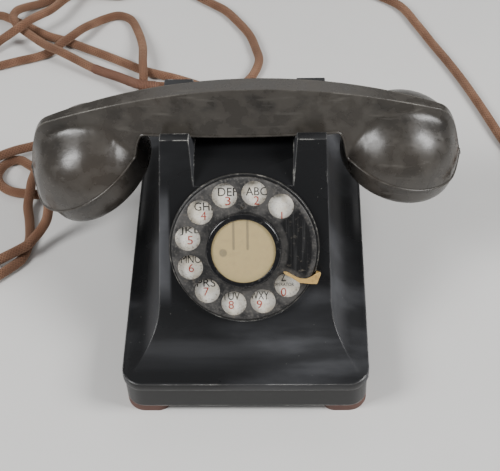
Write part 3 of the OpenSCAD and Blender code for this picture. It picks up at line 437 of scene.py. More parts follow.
def metal(name, colour, tarnish, roughness, metallic=1.0):
    """Machined metal: fine tool marks, tarnish in patches and brighter edges."""
    finish = Finish(name, {"Metallic": metallic})
    patches = finish.noise(55, 6).between(0.42, 0.7)
    marks = finish.noise(700, 2, (1, 1, 6))
    bright = finish.edges(0.6)
    dull = finish.blend(patches, colour, tarnish)
    finish.set("Base Color", finish.blend(bright * 0.5, dull, tuple(min(1, c * 1.5) for c in colour)))
    finish.set("Roughness", roughness + patches * 0.2 + marks * 0.1)
    finish.bump(marks, 0.03, easing=0.3)
    return finish.material


def dress_cad(nodes, finish):
    """Puts a finish on CAD nodes that keep their own shape."""
    for name in nodes:
        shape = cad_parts[name]
        for index in range(len(shape.material_slots)):
            shape.material_slots[index].material = finish


brown_resin = phenolic("brown_resin", (0.045, 0.02, 0.012), (0.09, 0.04, 0.022), 0.33)
brass = metal("old_brass", (0.46, 0.33, 0.13), (0.2, 0.13, 0.06), 0.32)
dress_cad(["plug_body"], brown_resin)
dress_cad(["plug_pins"], brass)
round(length_of(line_line) * mm, 3)
[p * mm for p in line_line[::3]] + [line_line[-1] * mm]

# ---------- housing ----------
# One hollow moulding, black all through: a broad lip, hollow sweeps up to steep walls, the dial's
# opening, and two pairs of ears with the handset's seat and a finger space between them.
lip_z, lip_h, band_in, corner_r = 26.5, 6.0, 0.8, 11.0
base_w, base_d, foot_h, wall = 131.0, 196.0, 5.0, 3.0
top_z, top_w, ear_front, ear_rear, ear_tip = 113.5, 87.0, -4.5, 42.0, 4.6
face_slope, rear_slope, side_slope = 51.5, 70.0, 88.0
front_sweep, rear_sweep, side_sweep = 57.0, 38.0, 19.5
seat_z, seat_front, seat_rear = 107.0, 3.2, 31.8
saddle_z, saddle_half, saddle_draft = 98.5, 26.0, 2.3
cavity_top = saddle_z - wall - 3.5
dial_z, bezel_r, dial_hole_r = 69.1, 39.7, 37.2
dial_y = ear_front - (top_z - dial_z) / math.tan(math.radians(face_slope))
to_dial = Matrix.Translation((0, dial_y, dial_z)) @ Matrix.Rotation(math.radians(face_slope), 4, "X")


def flank(z, edge, slope, sweep, inset=0.0):
    """How far out a wall stands at a height: a straight slope that ends in a hollow sweep."""
    slope = math.radians(slope)
    centre_z = lip_z + sweep * math.cos(math.radians(6))
    run = (top_z + sweep * math.cos(slope) - centre_z) / math.sin(slope)
    centre = edge + run * math.cos(slope) + sweep * math.sin(slope)
    radius = sweep + inset
    if z > centre_z - radius * math.cos(slope):
        return edge + (top_z - z) / math.tan(slope) - inset / math.sin(slope)
    return centre - math.sqrt(max(0.0, radius ** 2 - (centre_z - z) ** 2))


def plan(half, front, rear, corner, z):
    """A rounded rectangle at a height, from its front left corner round."""
    points = []
    for cx, cy, start in ((half - corner, -front + corner, -90), (half - corner, rear - corner, 0),
                          (-half + corner, rear - corner, 90), (-half + corner, -front + corner, 180)):
        for k in range(7):
            a = math.radians(start + 15 * k)
            points.append((cx + corner * math.cos(a), cy + corner * math.sin(a), z))
    full = []
    for k, a in enumerate(points):
        b = points[(k + 1) % len(points)]
        full.append(a)
        if k % 7 == 6:
            for i in range(1, 10):
                full.append(tuple(a[j] + (b[j] - a[j]) * i / 10 for j in range(3)))
    return full


def lofted(name, rings, sharp_above=32):
    """A closed skin over rings that all have the same number of points."""
    n = len(rings[0])
    faces = skin(len(rings), n) + caps(len(rings), n)
    return piece(name, [p for ring in rings for p in ring], faces, sharp_above)


def wall_rings(inset, top):
    """Rings up the walls, close together in the sweeps."""
    rings = []
    for k in range(61):
        z = lip_z + (top - lip_z) * (k / 60) ** 2.2
        low = 1 - eased(z, lip_z, lip_z + 1.5)
        rings.append(plan(flank(z, top_w / 2, side_slope, side_sweep, inset),
                          flank(z, -ear_front, face_slope, front_sweep, inset),
                          flank(z, ear_rear, rear_slope, rear_sweep, inset), 0.7 + 4.6 * low, z))
    return rings


def prism(name, outline, x_reach):
    """A drawing in Y and Z carried from side to side; x_reach gives the half width at a height."""
    n = len(outline)
    points = [(side * x_reach(z), y, z) for side in (-1, 1) for y, z in outline]
    faces = [tuple(range(n)), tuple(range(n, 2 * n))[::-1]]
    faces += [(i, n + i, n + (i + 1) % n, (i + 1) % n) for i in range(n)]
    made = piece(name, points, faces)
    outwards(made)
    return made


def outwards(made):
    """Turns a closed piece's faces outwards."""
    work = bmesh.new()
    work.from_mesh(made.data)
    bmesh.ops.recalc_face_normals(work, faces=work.faces)
    work.to_mesh(made.data)
    work.free()


def peg(name, radius, bottom, top, place=None, sides=96):
    """A plain round cutter along Z, or along a placed axis."""
    rings = [[(radius * math.cos(math.tau * i / sides), radius * math.sin(math.tau * i / sides), z)
              for i in range(sides)] for z in (bottom, top)]
    rings = [[(place @ Vector(p)) if place else Vector(p) for p in ring] for ring in rings]
    return lofted(name, rings)


def cut(made, cutters, sharp_above=32, operation="DIFFERENCE"):
    """Cuts the cutters out of a piece and removes them."""
    for cutter in cutters:
        step = made.modifiers.new("cut", "BOOLEAN")
        step.operation, step.object, step.solver = operation, cutter, "EXACT"
        bpy.context.view_layer.update()
        seen = made.evaluated_get(bpy.context.evaluated_depsgraph_get())
        mesh = bpy.data.meshes.new_from_object(seen)
        made.modifiers.clear()
        made.data = mesh
        bpy.data.objects.remove(cutter)
    made.data.shade_smooth()
    made.data.set_sharp_from_angle(angle=math.radians(sharp_above))


def eased_edges(made, width, segments=2, above=35):
    """Breaks a piece's sharp edges by a small radius."""
    step = made.modifiers.new("edges", "BEVEL")
    step.width, step.segments, step.limit_method = width * mm, segments, "ANGLE"
    step.angle_limit = math.radians(above)
    step.harden_normals = True
    bpy.context.view_layer.update()
    mesh = bpy.data.meshes.new_from_object(made.evaluated_get(bpy.context.evaluated_depsgraph_get()))
    made.modifiers.clear()
    made.data = mesh


half_w, half_d = base_w / 2, base_d / 2
band_z = lip_z - lip_h


def base_ring(inset, z):
    """The base's outline at a height, drawn in by an inset."""
    return plan(half_w - inset, half_d - inset, half_d - inset, corner_r - inset, z)


lip_rings = [base_ring(inset, z) for inset, z in (
    (band_in, foot_h), (band_in, band_z - 0.1), (0.5, band_z), (0.1, band_z + 0.3), (0, band_z + 0.7),
    (0, lip_z - 1.1), (0.3, lip_z - 0.4), (0.9, lip_z - 0.02))]
housing = lofted("housing_shell", [*lip_rings, *wall_rings(0, top_z)])
cavity = lofted("cavity", [base_ring(band_in + wall, foot_h - 1), base_ring(band_in + wall, lip_z - wall),
                           *[r for r in wall_rings(wall, cavity_top) if r[0][2] > lip_z]])
screw_x, screw_y, screw_r, boss_r = 36, 87, 1.55, 4
screw_places = [Matrix.Translation((sx * screw_x, sy * screw_y, 0)) for sx in (-1, 1) for sy in (-1, 1)]
bosses = [peg("boss", boss_r, foot_h + 2, foot_h + 42, place, 32) for place in screw_places]
cut(cavity, bosses)
seat_cut = prism("seat", [(seat_front, seat_z), (seat_rear, seat_z), (ear_rear - ear_tip, top_z + 1),
                          (ear_front + ear_tip, top_z + 1)], lambda z: 70)
start_z = saddle_z - 4
start_y = ear_front - (top_z - start_z) / math.tan(math.radians(face_slope))
saddle_cut = prism("saddle", [(start_y - 1, start_z - 0.25), (-3, saddle_z), (62, saddle_z), (62, top_z + 1),
                              (start_y - 1, top_z + 1)],
                   lambda z: saddle_half + saddle_draft * (z - start_z + 1) / (top_z + 1 - start_z + 1))
dial_cuts = [peg("dial_hole", dial_hole_r, -12, 8, to_dial), peg("bezel_seat", bezel_r + 0.2, 0, 20, to_dial)]
pocket_front, pocket_rear, pocket_top, pocket_half, pocket_x = 7.2, 27.8, seat_z - 3.5, 4.65, 35.65
pockets = [prism("pocket", [(pocket_front, cavity_top - 1), (pocket_rear, cavity_top - 1),
                            (pocket_rear, pocket_top), (pocket_front, pocket_top)],
                 lambda z: pocket_half) for s in (-1, 1)]
for side, pocket in zip((-1, 1), pockets):
    pocket.data.transform(Matrix.Translation((side * pocket_x * mm, 0, 0)))
bore_x, bore_y, bore_r = 36, 17.5, 3.25
bores = [peg("bore", bore_r, 102, 116, Matrix.Translation((s * bore_x, bore_y, 0)), 48) for s in (-1, 1)]
lead_y, lead_z, lead_r = 99, 14.5, 4.4
lead_holes = [peg("lead_hole", lead_r, -1, 7, Matrix.Translation((x, lead_y, lead_z)) @ Matrix.Rotation(
    math.radians(90), 4, "X"), 48) for x in (-45, -20)]
screw_holes = [peg("screw_hole", screw_r, 7, 19, place, 24) for place in screw_places]
cut(housing, [cavity, *dial_cuts, seat_cut, saddle_cut, *pockets, *bores, *lead_holes, *screw_holes])
eased_edges(housing, 0.5)


def dial_place(finish):
    """A point's place in the dial's plane, in millimetres from the dial's centre."""
    at = finish.node("ShaderNodeTexCoord", output="Object")
    turned = finish.node("ShaderNodeMapping", {"vector_type": "TEXTURE"}, {
        "Vector": at, "Location": Vector((0, dial_y, dial_z)) * mm,
        "Rotation": (math.radians(face_slope), 0, 0)})
    scaled = finish.node("ShaderNodeVectorMath", {"operation": "SCALE"}, {0: turned, "Scale": 1 / mm})
    return scaled, *finish.parts(scaled)[:2]


def black_case():
    """Black phenolic, polished by hand wear: pale lines on its creases, dusty smears on its front, and
    painted light lifting its side walls.
    """
    finish = Finish("black_phenolic", {"Specular IOR Level": 0.33})
    crease = finish.edges(1.0, 0.02, 0.09)
    broken = finish.noise(55, 5).between(0.47, 0.6)
    chips = finish.noise(85, 5).between(0.5, 0.58) * finish.noise(330, 3).between(0.42, 0.55)
    at = finish.node("ShaderNodeTexCoord", output="Object")
    height = finish.parts(at)[2]
    low = 1 - height.between(0.05, 0.085)
    facing = finish.node("ShaderNodeNewGeometry", output="Normal")
    across, backward, _ = finish.parts(facing)
    forward = backward * -1
    # Side walls lightened all over by the way they face: painted light, mixed into the dust haze.
    painted_light_on_flanks = abs(across).between(0.45, 0.9)
    flat, dial_x, dial_up = dial_place(finish)
    beside_dial = (dial_x.between(-54, -48) * (1 - dial_x.between(-40.5, -38.5)) * forward.between(0.3, 0.6)
                   * (1 - abs(dial_up).between(16, 34)))
    swept = forward.between(0.15, 0.4) * (1 - height.between(0.03, 0.05)) * (1 - dial_x.between(8, 45))
    streaks = finish.noise(34, 6, (0.14, 1.2, 1.8)).between(0.46, 0.64)
    above_band = height.between((band_z - 1) * mm, band_z * mm)
    by_lip = 1 - abs(height - lip_z * mm).between(0.0015, 0.003)
    by_lip = by_lip + 1 - abs(height - band_z * mm).between(0.001, 0.002)
    smears = finish.noise(13, 5, (0.7, 1.3, 1.3)).between(0.44, 0.66)
    wiped = finish.noise(42, 7, (0.35, 1.5, 1.5)).between(0.4, 0.7)
    # The haze is dust smears plus painted light on the side walls.
    haze = smears * (wiped * 0.75 + 0.25) * (low * 0.55 + 0.45) + painted_light_on_flanks * (wiped * 0.5 + 0.8)
    haze = (haze + beside_dial * (wiped * 0.9 + 1.1) + swept * streaks * 0.4) * above_band
    body = finish.blend(finish.noise(9, 3), (0.0075, 0.0078, 0.0084), (0.0125, 0.0127, 0.0135))
    dust_and_painted_light = finish.blend(haze * 0.62, body, (0.078, 0.08, 0.087))
    lines = crease * (broken * 0.6 + 0.3) * ((1 - height.between(0.035, 0.085)) * 0.85 + 0.2)
    lines = lines + crease * by_lip * broken * 0.4
    wear_and_painted_light = finish.blend(lines, dust_and_painted_light, (0.55, 0.545, 0.53))
    spots = finish.specks(260, 0.06) * finish.noise(24, 2).between(0.52, 0.66)
    finish.set("Base Color", finish.blend(crease * chips * 0.85 + spots * 0.3, wear_and_painted_light, (0.6, 0.59, 0.55)))
    finish.set("Roughness", 0.27 + haze * 0.25 + lines * 0.3)
    finish.bump(finish.noise(240, 4) * 0.7 + wiped * 0.2, 0.04, easing=0.5)
    return finish.material


case_black = black_case()
dress(housing, case_black, "base")
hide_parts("housing")


# ---------- base plate, feet and grommets ----------
# A pressed steel plate closes the bottom, on four pads of brown rubber moulded round the corners.
# Four screws hold it. Black rubber grommets line the two cord holes.
def rubber(name, colour, dust):
    """Aged rubber: dull, with a paler bloom and grit."""
    finish = Finish(name, {"Specular IOR Level": 0.3})
    bloom = finish.noise(60, 6).between(0.4, 0.7)
    grit = finish.noise(1000, 2)
    finish.set("Base Color", finish.blend(bloom * 0.6, colour, dust))
    finish.set("Roughness", 0.7 + bloom * 0.2)
    finish.bump(grit, 0.12, easing=0.5)
    return finish.material


foot_rubber = rubber("brown_rubber", (0.12, 0.065, 0.054), (0.185, 0.108, 0.09))
black_rubber = rubber("black_rubber", (0.012, 0.011, 0.01), (0.05, 0.045, 0.04))
plate_paint = phenolic("plate_paint", (0.012, 0.012, 0.013), (0.03, 0.03, 0.03), 0.5)
steel = metal("plated_steel", (0.42, 0.42, 0.41), (0.2, 0.19, 0.17), 0.34)
dress_cad(["base_plate"], plate_paint)
dress_cad(["feet"], foot_rubber)
dress_cad(["base_grommets", "handset_gland"], black_rubber)
dress_cad(["base_screws"], steel)

# ---------- ringer, condenser, coils and terminals ----------
# The parts on the base plate: a steel frame with two wound coils on a magnet, a clapper between
# two brass gongs, a canned condenser, an induction coil and a terminal strip.
def winding():
    """Enamelled copper wire, wound close and varnished red-brown."""
    finish = Finish("coil_winding", {"Coat Weight": 0.4})
    wire = finish.node("ShaderNodeTexWave", {"bands_direction": "Y"},
                       {"Vector": finish.place(), "Scale": 420.0})
    stain = finish.noise(50, 4)
    finish.set("Base Color", finish.blend(stain, (0.13, 0.03, 0.015), (0.26, 0.08, 0.03)))
    finish.set("Roughness", 0.35 + stain * 0.2)
    finish.bump(wire, 0.12)
    return finish.material


gunmetal = metal("magnet_steel", (0.2, 0.2, 0.21), (0.1, 0.09, 0.085), 0.45)
red_winding = winding()
dress_cad(["ringer_frame", "clapper", "condenser", "gong_screws"], steel)
dress_cad(["ringer_magnet"], gunmetal)
dress_cad(["ringer_coils", "induction_coil"], red_winding)
dress_cad(["gongs", "terminal_screws"], brass)
dress_cad(["terminal_block"], brown_resin)

# ---------- cradle switch ----------
# Two plungers of grey moulded resin stand in the seat. They rest on a pivoted steel lever, which
# works a pile of springs with silver contacts.
spring_silver = metal("nickel_silver", (0.5, 0.46, 0.38), (0.3, 0.26, 0.2), 0.28)
grey_resin = phenolic("grey_resin", (0.1, 0.095, 0.09), (0.16, 0.15, 0.14), 0.35)
dress_cad(["hook_bracket", "hook_pin", "hook_lever", "hook_screws"], steel)
dress_cad(["hook_switch"], spring_silver)
dress_cad(["plungers"], grey_resin)


# ---------- dial movement ----------
# A black cup carries the gear train, the return spring, the pulse contacts and the governor.
def bezel_black():
    """Black enamel on brass, with fine scuffs, bright wear where fingers pass, and two painted highlight
    rings.
    """
    finish = Finish("bezel_enamel")
    flat, x, y = dial_place(finish)
    worn = finish.edges(0.5, 0.02, 0.1)
    scuffs = finish.noise(0.35, 6, at=flat).between(0.5, 0.66)
    chips = finish.noise(0.9, 4, at=flat).between(0.56, 0.66)
    radius = x.away_from(y)
    # Two pale rings on the bezel's rounded edges: painted highlights, broken by scuffs.
    lines = 0.0
    for middle in (37.8, 39.35):
        lines = (1 - abs(radius - middle).between(0.1, 0.3)) + lines
    # Edge wear plus the painted highlight rings.
    wear_and_painted_light = worn * (chips * 0.8 + scuffs * 0.25) + lines * (scuffs * 0.5 + 0.12)
    finish.set("Base Color", finish.blend(wear_and_painted_light, (0.009, 0.009, 0.0095), (0.36, 0.34, 0.3)))
    finish.set("Roughness", 0.3 + scuffs * 0.25)
    finish.bump(finish.noise(0.8, 4, at=flat), 0.04, easing=0.35)
    return finish.material


dress_cad(["dial_frame"], bezel_black())
dress_cad(["dial_shaft", "main_gear", "pulse_pinion", "governor_cup"], brass)
dress_cad(["main_spring", "governor", "dial_screws"], steel)
dress_cad(["pulse_springs", "card_holder"], spring_silver)


# ---------- number plate ----------
# A ring of white vitreous enamel, yellowed and specked. The red figures and black letters are
# fired into it, upright in every place, a little clockwise of the finger holes.
hole_circle, hole_r, hole_start, hole_count = 29.9, 6.6, 49, 10


def from_hole(x, y):
    """How far a point of the dial is from the middle of the nearest finger hole."""
    angle = x.math("ARCTAN2", y, x) * (180 / math.pi)
    turn = angle.math("WRAP", angle - hole_start, 15, -15) * math.radians(hole_circle)
    return angle, turn.away_from(x.away_from(y) - hole_circle)


def enamel():
    finish = Finish("white_enamel", {"Coat Weight": 0.5, "Coat Roughness": 0.15})
    flat, x, y = dial_place(finish)
    age = finish.noise(0.16, 5, at=flat).between(0.35, 0.68)
    dirt = finish.noise(0.9, 5, at=flat).between(0.5, 0.75)
    # Darker round the edge of each finger hole: grime, and painted shade of the wheel's rim on the plate.
    grime = from_hole(x, y)[1].between(hole_r - 2.4, hole_r - 0.2)
    specks = finish.specks(1.1, 0.2, at=flat) * finish.noise(0.3, 2, at=flat).between(0.45, 0.6)
    aged = finish.blend(age * 0.8, (0.97, 0.945, 0.87), (0.78, 0.7, 0.55))
    soiled = finish.blend(dirt * 0.38 + grime * (dirt * 0.4 + 0.3), aged, (0.26, 0.21, 0.15))
    finish.set("Base Color", finish.blend(specks * 0.6, soiled, (0.1, 0.085, 0.07)))
    finish.set("Roughness", 0.28 + dirt * 0.3)
    finish.bump(finish.noise(0.5, 3, at=flat), 0.04)
    return finish.material


def lettering_ink(name, colour, faded):
    finish = Finish(name)
    flat, x, y = dial_place(finish)
    wear = finish.noise(1.2, 4, at=flat).between(0.5, 0.75)
    finish.set("Base Color", finish.blend(wear * 0.6, colour, faded))
    finish.set("Roughness", 0.35 + wear * 0.2)
    return finish.material


dress_cad(["number_plate"], enamel())
label_circle, label_lag, plate_face = 28.95, 3.15, 2.0
label_left, label_low = 0.2, 0.65


def lettering(name, labels, stroke, thickness=0.04):
    """Flat letters on the number plate: each label is its text, place, height and width."""
    join = bmesh.new()
    for text, x, y, height, width in labels:
        drawn = bpy.data.curves.new("text", "FONT")
        drawn.body, drawn.size, drawn.offset = text, height / 0.7, stroke
        drawn.extrude, drawn.resolution_u = thickness / 2, 3
        holder = bpy.data.objects.new("text", drawn)
        bpy.context.scene.collection.objects.link(holder)
        bpy.context.view_layer.update()
        mesh = bpy.data.meshes.new_from_object(holder.evaluated_get(bpy.context.evaluated_depsgraph_get()))
        low = [min(v.co[i] for v in mesh.vertices) for i in (0, 1)]
        high = [max(v.co[i] for v in mesh.vertices) for i in (0, 1)]
        mesh.transform(to_dial @ Matrix.Translation((x, y, plate_face + thickness / 2)) @ Matrix.Diagonal(
            (width / (high[0] - low[0]), height / (high[1] - low[1]), 1, 1)) @ Matrix.Translation(
                (-(low[0] + high[0]) / 2, -(low[1] + high[1]) / 2, 0)))
        join.from_mesh(mesh)
        bpy.data.objects.remove(holder)
    bmesh.ops.transform(join, matrix=Matrix.Scale(mm, 4), verts=join.verts)
    mesh = bpy.data.meshes.new(name)
    join.to_mesh(mesh)
    join.free()
    made = bpy.data.objects.new(name, mesh)
    bpy.context.scene.collection.objects.link(made)
    return made


figures, letters = [], []
groups = [("", 0), ("ABC", 11.0), ("DEF", 10.0), ("GHI", 9.4), ("JKL", 10.3), ("MNO", 10.6),
          ("PRS", 9.9), ("TUV", 9.3), ("WXY", 10.0), ("Z", 2.7)]
for number, (group, width) in enumerate(groups):
    place = math.radians(hole_start + 30 * number - label_lag)
    x, y = label_circle * math.cos(place) - label_left, label_circle * math.sin(place) - label_low
    drop = {0: 3.24, 9: 3.14}.get(number, 2.15)
    figure, figure_w = ("I", 0.65) if number == 0 else (str((number + 1) % 10), 2.9)
    figures.append((figure, x, y - drop, 4.5, figure_w))
    if group == "Z":
        letters.append((group, x, y + 4.86, 4.3, width))
        letters.append(("OPERATOR", x, y + 0.96, 1.8, 10.9))
    elif group:
        letters.append((group, x, y + 2.65, 4.35, width))
dress(lettering("dial_figures", figures, 0), lettering_ink(
    "red_ink", (0.42, 0.06, 0.04), (0.6, 0.35, 0.28)), "base")
dress(lettering("dial_letters", letters, 0), lettering_ink(
    "black_ink", (0.02, 0.018, 0.016), (0.2, 0.17, 0.13)), "base")

# ---------- finger wheel ----------
# A pressed disc under black baked enamel, dulled by use. Ten holes with turned-down edges, and a
# small hole for the release of the card. It stays glossy where fingers never rest.
wheel_r, wheel_top, wheel_t = 38.1, 5.1, 1.2
card_r, ring_r, card_h = 17.3, 19.8, 6.2
key_hole_angle, key_hole_r, key_hole_gap = math.radians(92), 0.9, 2.1


def turned(name, outline, place, sides=128, sharp_above=32):
    """A closed outline of radius and height, turned about an axis."""
    rings = []
    for i in range(sides):
        a = math.tau * i / sides
        rings.append([place @ Vector((r * math.cos(a), r * math.sin(a), z)) for r, z in outline])
    n = len(outline)
    faces = [(k * n + i, ((k + 1) % sides) * n + i, ((k + 1) % sides) * n + (i + 1) % n, k * n + (i + 1) % n)
             for k in range(sides) for i in range(n)]
    made = piece(name, [p for ring in rings for p in ring], faces, sharp_above)
    outwards(made)
    return made


wheel_under = wheel_top - wheel_t
finger_wheel = turned("finger_wheel_disc", [
    (3.0, wheel_under), (18, wheel_under), (30, wheel_under), (wheel_r - 0.6, wheel_under),
    (wheel_r - 0.15, wheel_under + 0.2), (wheel_r, wheel_under + 0.6), (wheel_r - 0.15, wheel_top - 0.25),
    (wheel_r - 0.6, wheel_top), (wheel_r - 1.6, wheel_top), (30, wheel_top), (18, wheel_top),
    (3.0, wheel_top)], to_dial)
hole_cutters = []
for number in range(hole_count):
    a = math.radians(hole_start + 30 * number)
    hole_cutters.append(peg("hole", hole_r, wheel_under - 1, wheel_top + 1, to_dial @ Matrix.Translation(
        (hole_circle * math.cos(a), hole_circle * math.sin(a), 0)), 64))
key_hole = Vector((math.cos(key_hole_angle), math.sin(key_hole_angle), 0)) * (ring_r + key_hole_gap)
hole_cutters.append(peg("release", key_hole_r, wheel_under - 1, wheel_top + 1,
                        to_dial @ Matrix.Translation(key_hole), 24))
cut(finger_wheel, hole_cutters)
eased_edges(finger_wheel, 0.3, 3)


def wheel_enamel():
    finish = Finish("wheel_enamel")
    flat, x, y = dial_place(finish)
    angle, away = from_hole(x, y)
    radius = x.away_from(y)
    kept = (angle.between(-27, -22) * (1 - angle.between(34, 40)) * radius.between(22.3, 24)
            * (1 - radius.between(35, 36.5)))
    stroke = finish.node("ShaderNodeVectorMath", {"operation": "MULTIPLY"}, {0: flat, 1: (1.0, 0.04, 1.0)})
    scratches = finish.noise(1.1, 4, at=stroke).between(0.45, 0.8)
    near_stop = (1 - angle.between(-21, -8)) * angle.between(-40, -30)
    cloud = finish.noise(0.12, 4, at=flat)
    dirt = finish.noise(0.4, 6, at=flat).between(0.55, 0.75)
    worn = finish.edges(0.35, 0.02, 0.1)
    rim = 1 - away.between(hole_r + 0.2, hole_r + 2.2)
    scuffs = finish.noise(0.9, 6, at=flat).between(0.5, 0.66)
    dull = finish.blend(cloud.between(0.38, 0.62), (0.018, 0.0178, 0.018), (0.068, 0.065, 0.062))
    dull = finish.blend(scuffs * 0.45, dull, (0.15, 0.14, 0.128))
    dull = finish.blend(rim * dirt * 0.5, dull, (0.13, 0.105, 0.075))
    glossy = finish.blend(scratches * 0.55, (0.009, 0.009, 0.0095), (0.06, 0.06, 0.06))
    both = finish.blend(kept, dull, glossy)
    soil = dirt * radius.between(19, 24) * (near_stop * 0.6 + 0.25)
    finish.set("Base Color", finish.blend(soil + worn * 0.35, both, (0.16, 0.14, 0.115)))
    finish.set("Roughness", 0.52 - kept * 0.3 + dirt * 0.15)
    finish.bump(finish.noise(2.5, 3, at=flat) * (1 - kept), 0.04, easing=0.3)
    return finish.material


dress(finger_wheel, wheel_enamel(), "dial")
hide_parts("finger_wheel")

# ---------- card and its ring ----------
# A blank paper card under a thin clear window, held on the wheel by a glossy black ring. The paper
# has yellowed, with two pressed strokes and a stain.
ring_outline = [(card_r, 0.0), (ring_r, 0.0), (ring_r, card_h * 0.45)]
for k in range(9):
    a = math.radians(90 * k / 8)
    ring_outline.append((ring_r - 1.3 + 1.3 * math.cos(a), card_h - 1.5 + 1.5 * math.sin(a)))
ring_outline += [(card_r - 0.1, card_h), (card_r - 0.4, card_h - 0.15), (card_r - 0.6, card_h - 0.5),
                 (card_r - 0.6, card_h - 0.7), (card_r, card_h - 0.7)]
card_ring = turned("card_ring", [(r, wheel_top + h) for r, h in ring_outline], to_dial)


def gloss_black():
    finish = Finish("gloss_black", {"Specular IOR Level": 0.55})
    flat, x, y = dial_place(finish)
    rub = finish.noise(0.5, 5, at=flat).between(0.52, 0.72)
    finish.set("Base Color", finish.blend(rub * 0.4, (0.006, 0.006, 0.007), (0.05, 0.048, 0.045)))
    finish.set("Roughness", 0.14 + rub * 0.25)
    finish.bump(finish.noise(0.6, 3, at=flat), 0.05)
    return finish.material


def old_card():
    finish = Finish("old_card")
    flat, x, y = dial_place(finish)
    strokes = 0.0
    for middle, low, high in ((-5.1, 0.5, 15.5), (2.2, 0.5, 15.8)):
        bar = (1 - abs(x - middle).between(0.35, 0.95)) * y.between(low - 0.4, low + 0.6)
        strokes = bar * (1 - y.between(high, high + 1)) + strokes
    away = (x + 10.6).away_from(y + 0.9)
    stain = 1 - away.between(1.6, 2.5)
    radius = x.away_from(y)
    rim = radius.between(13, 17.2)
    fibre = finish.noise(1.5, 5, at=flat)
    mottle = finish.noise(0.2, 4, at=flat)
    paper = finish.blend(mottle, (0.5, 0.38, 0.178), (0.55, 0.427, 0.207))
    paper = finish.blend(fibre.between(0.5, 0.8) * 0.3, paper, (0.42, 0.36, 0.22))
    paper = finish.blend(rim * 0.45, paper, (0.4, 0.33, 0.16))
    finish.set("Base Color", finish.blend(strokes * 0.7 + stain * 0.75, paper, (0.15, 0.125, 0.085)))
    finish.set("Roughness", 0.6 + fibre * 0.2)
    finish.bump(fibre, 0.03)
    return finish.material


def clear_window():
    finish = Finish("clear_window", {"Base Color": (0.62, 0.53, 0.33)})
    flat, x, y = dial_place(finish)
    haze = finish.noise(0.3, 5, at=flat).between(0.4, 0.8)
    finish.set("Alpha", 0.07 + haze * 0.05)
    finish.set("Roughness", 0.12 + haze * 0.2)
    return finish.material


dress(card_ring, gloss_black(), "dial")
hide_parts("card_retainer")
dress_cad(["number_card"], old_card())
window_low, window_side, window_mid = 10.15, 10.4, 10.55
card_window = turned("card_window_dome", [
    (0.01, window_low), (card_r - 0.1, window_low), (card_r - 0.1, window_side),
    *[((card_r - 0.1) * math.cos(math.radians(18 * k)),
       window_side + (window_mid - window_side) * math.sin(math.radians(18 * k))) for k in range(1, 5)],
    (0.01, window_mid)], to_dial)
dress(card_window, clear_window(), "dial")
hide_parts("card_window")

# ---------- finger stop ----------
# A crescent hook of yellow lacquered brass, cut from sheet. Its post stands on a lug outside the
# bezel and its tip reaches in over the wheel beside the last hole.
stop_angle, stop_low, stop_t = -21, wheel_top + 0.7, 1.2
to_stop = to_dial @ Matrix.Rotation(math.radians(stop_angle), 4, "Z")
stop_root, stop_side, stop_w, stop_root_l = bezel_r + 0.1, -3.6, 5.4, 2.4
stop_points = [(stop_root_l, stop_side), (stop_root_l, -1), (stop_root_l, 1.8), (1.7, 2.8), (0.3, 1.7),
               (-1.7, -1), (-4, -3.1), (-7.2, -4), (-10.9, -3.8), (-14.2, -3.2), (-16.3, -3.7),
               (-14.9, -4.7), (-12.3, -5), (-9.1, -5.6), (-6.4, -6.2), (-4.2, -5.6), (-0.9, -4.8),
               (stop_root_l, stop_side)]
stop_edge = run_through([(stop_root + x, y, 0) for x, y in stop_points], 0.5)[:-1]
finger_stop = lofted("finger_stop_hook", [[to_stop @ Vector((p.x, p.y, z)) for p in stop_edge]
                                          for z in (stop_low, stop_low + stop_t)])
outwards(finger_stop)
post_sides = ((0, stop_side), (stop_root_l, stop_side),
              (stop_root_l, stop_side + stop_w), (0, stop_side + stop_w))
stop_foot = lofted("stop_foot", [[to_stop @ Vector((stop_root + x, y, z)) for x, y in post_sides]
                                 for z in (1.4, stop_low + 0.6)])
outwards(stop_foot)
cut(finger_stop, [stop_foot], operation="UNION")
eased_edges(finger_stop, 0.25, 2)


def yellow_lacquer():
    finish = Finish("yellow_lacquer", {"Metallic": 0.25})
    flat, x, y = dial_place(finish)
    worn = finish.edges(0.5)
    stain = finish.noise(0.5, 5, at=flat).between(0.5, 0.72)
    body = finish.blend(stain * 0.6, (0.66, 0.43, 0.15), (0.34, 0.2, 0.075))
    finish.set("Base Color", finish.blend(worn * 0.4, body, (0.75, 0.6, 0.34)))
    finish.set("Roughness", 0.35 + stain * 0.2)
    finish.bump(finish.noise(0.9, 3, at=flat), 0.06, easing=0.3)
    return finish.material


dress(finger_stop, yellow_lacquer(), "base")
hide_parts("finger_stop")

# ---------- handset ----------
# One moulding of brown-black phenolic: an arched handle with a crease along its crest that runs out
# into a domed cup at each end, with a fine bead along its lower edge.
crest_z, crest_r, crest_x, crest_half, under_z = 132.0, 270.0, 4.0, 4.4, 107.3
side_spread, dome_h, blend_k = 0.385, 29.0, 3.5
handset_y, handset_yaw, tip_run, under_run, cup_wall = 17.5, 0.75, 15.0, 5.0, 5.4
tx_end, rx_end = -119.2, 117.3
tx, rx = (-86.4, 77.9, 33.2, 31.0), (85.0, 84.4, 32.0, -15.0)
to_handset = Matrix.Translation((0, handset_y, 0)) @ Matrix.Rotation(math.radians(handset_yaw), 4, "Z")


def to_cup(cup):
    turned_down = Matrix.Rotation(math.radians(180 - cup[3]), 4, "Y")
    return to_handset @ Matrix.Translation((cup[0], 0, cup[1])) @ turned_down


def end_of(x):
    return -tx_end if x < 0 else rx_end


def crest(x):
    fall = max(0.0, (abs(x) - end_of(x) + tip_run) / tip_run)
    return crest_z - (x - crest_x) ** 2 / (2 * crest_r) - 30 * fall ** 3


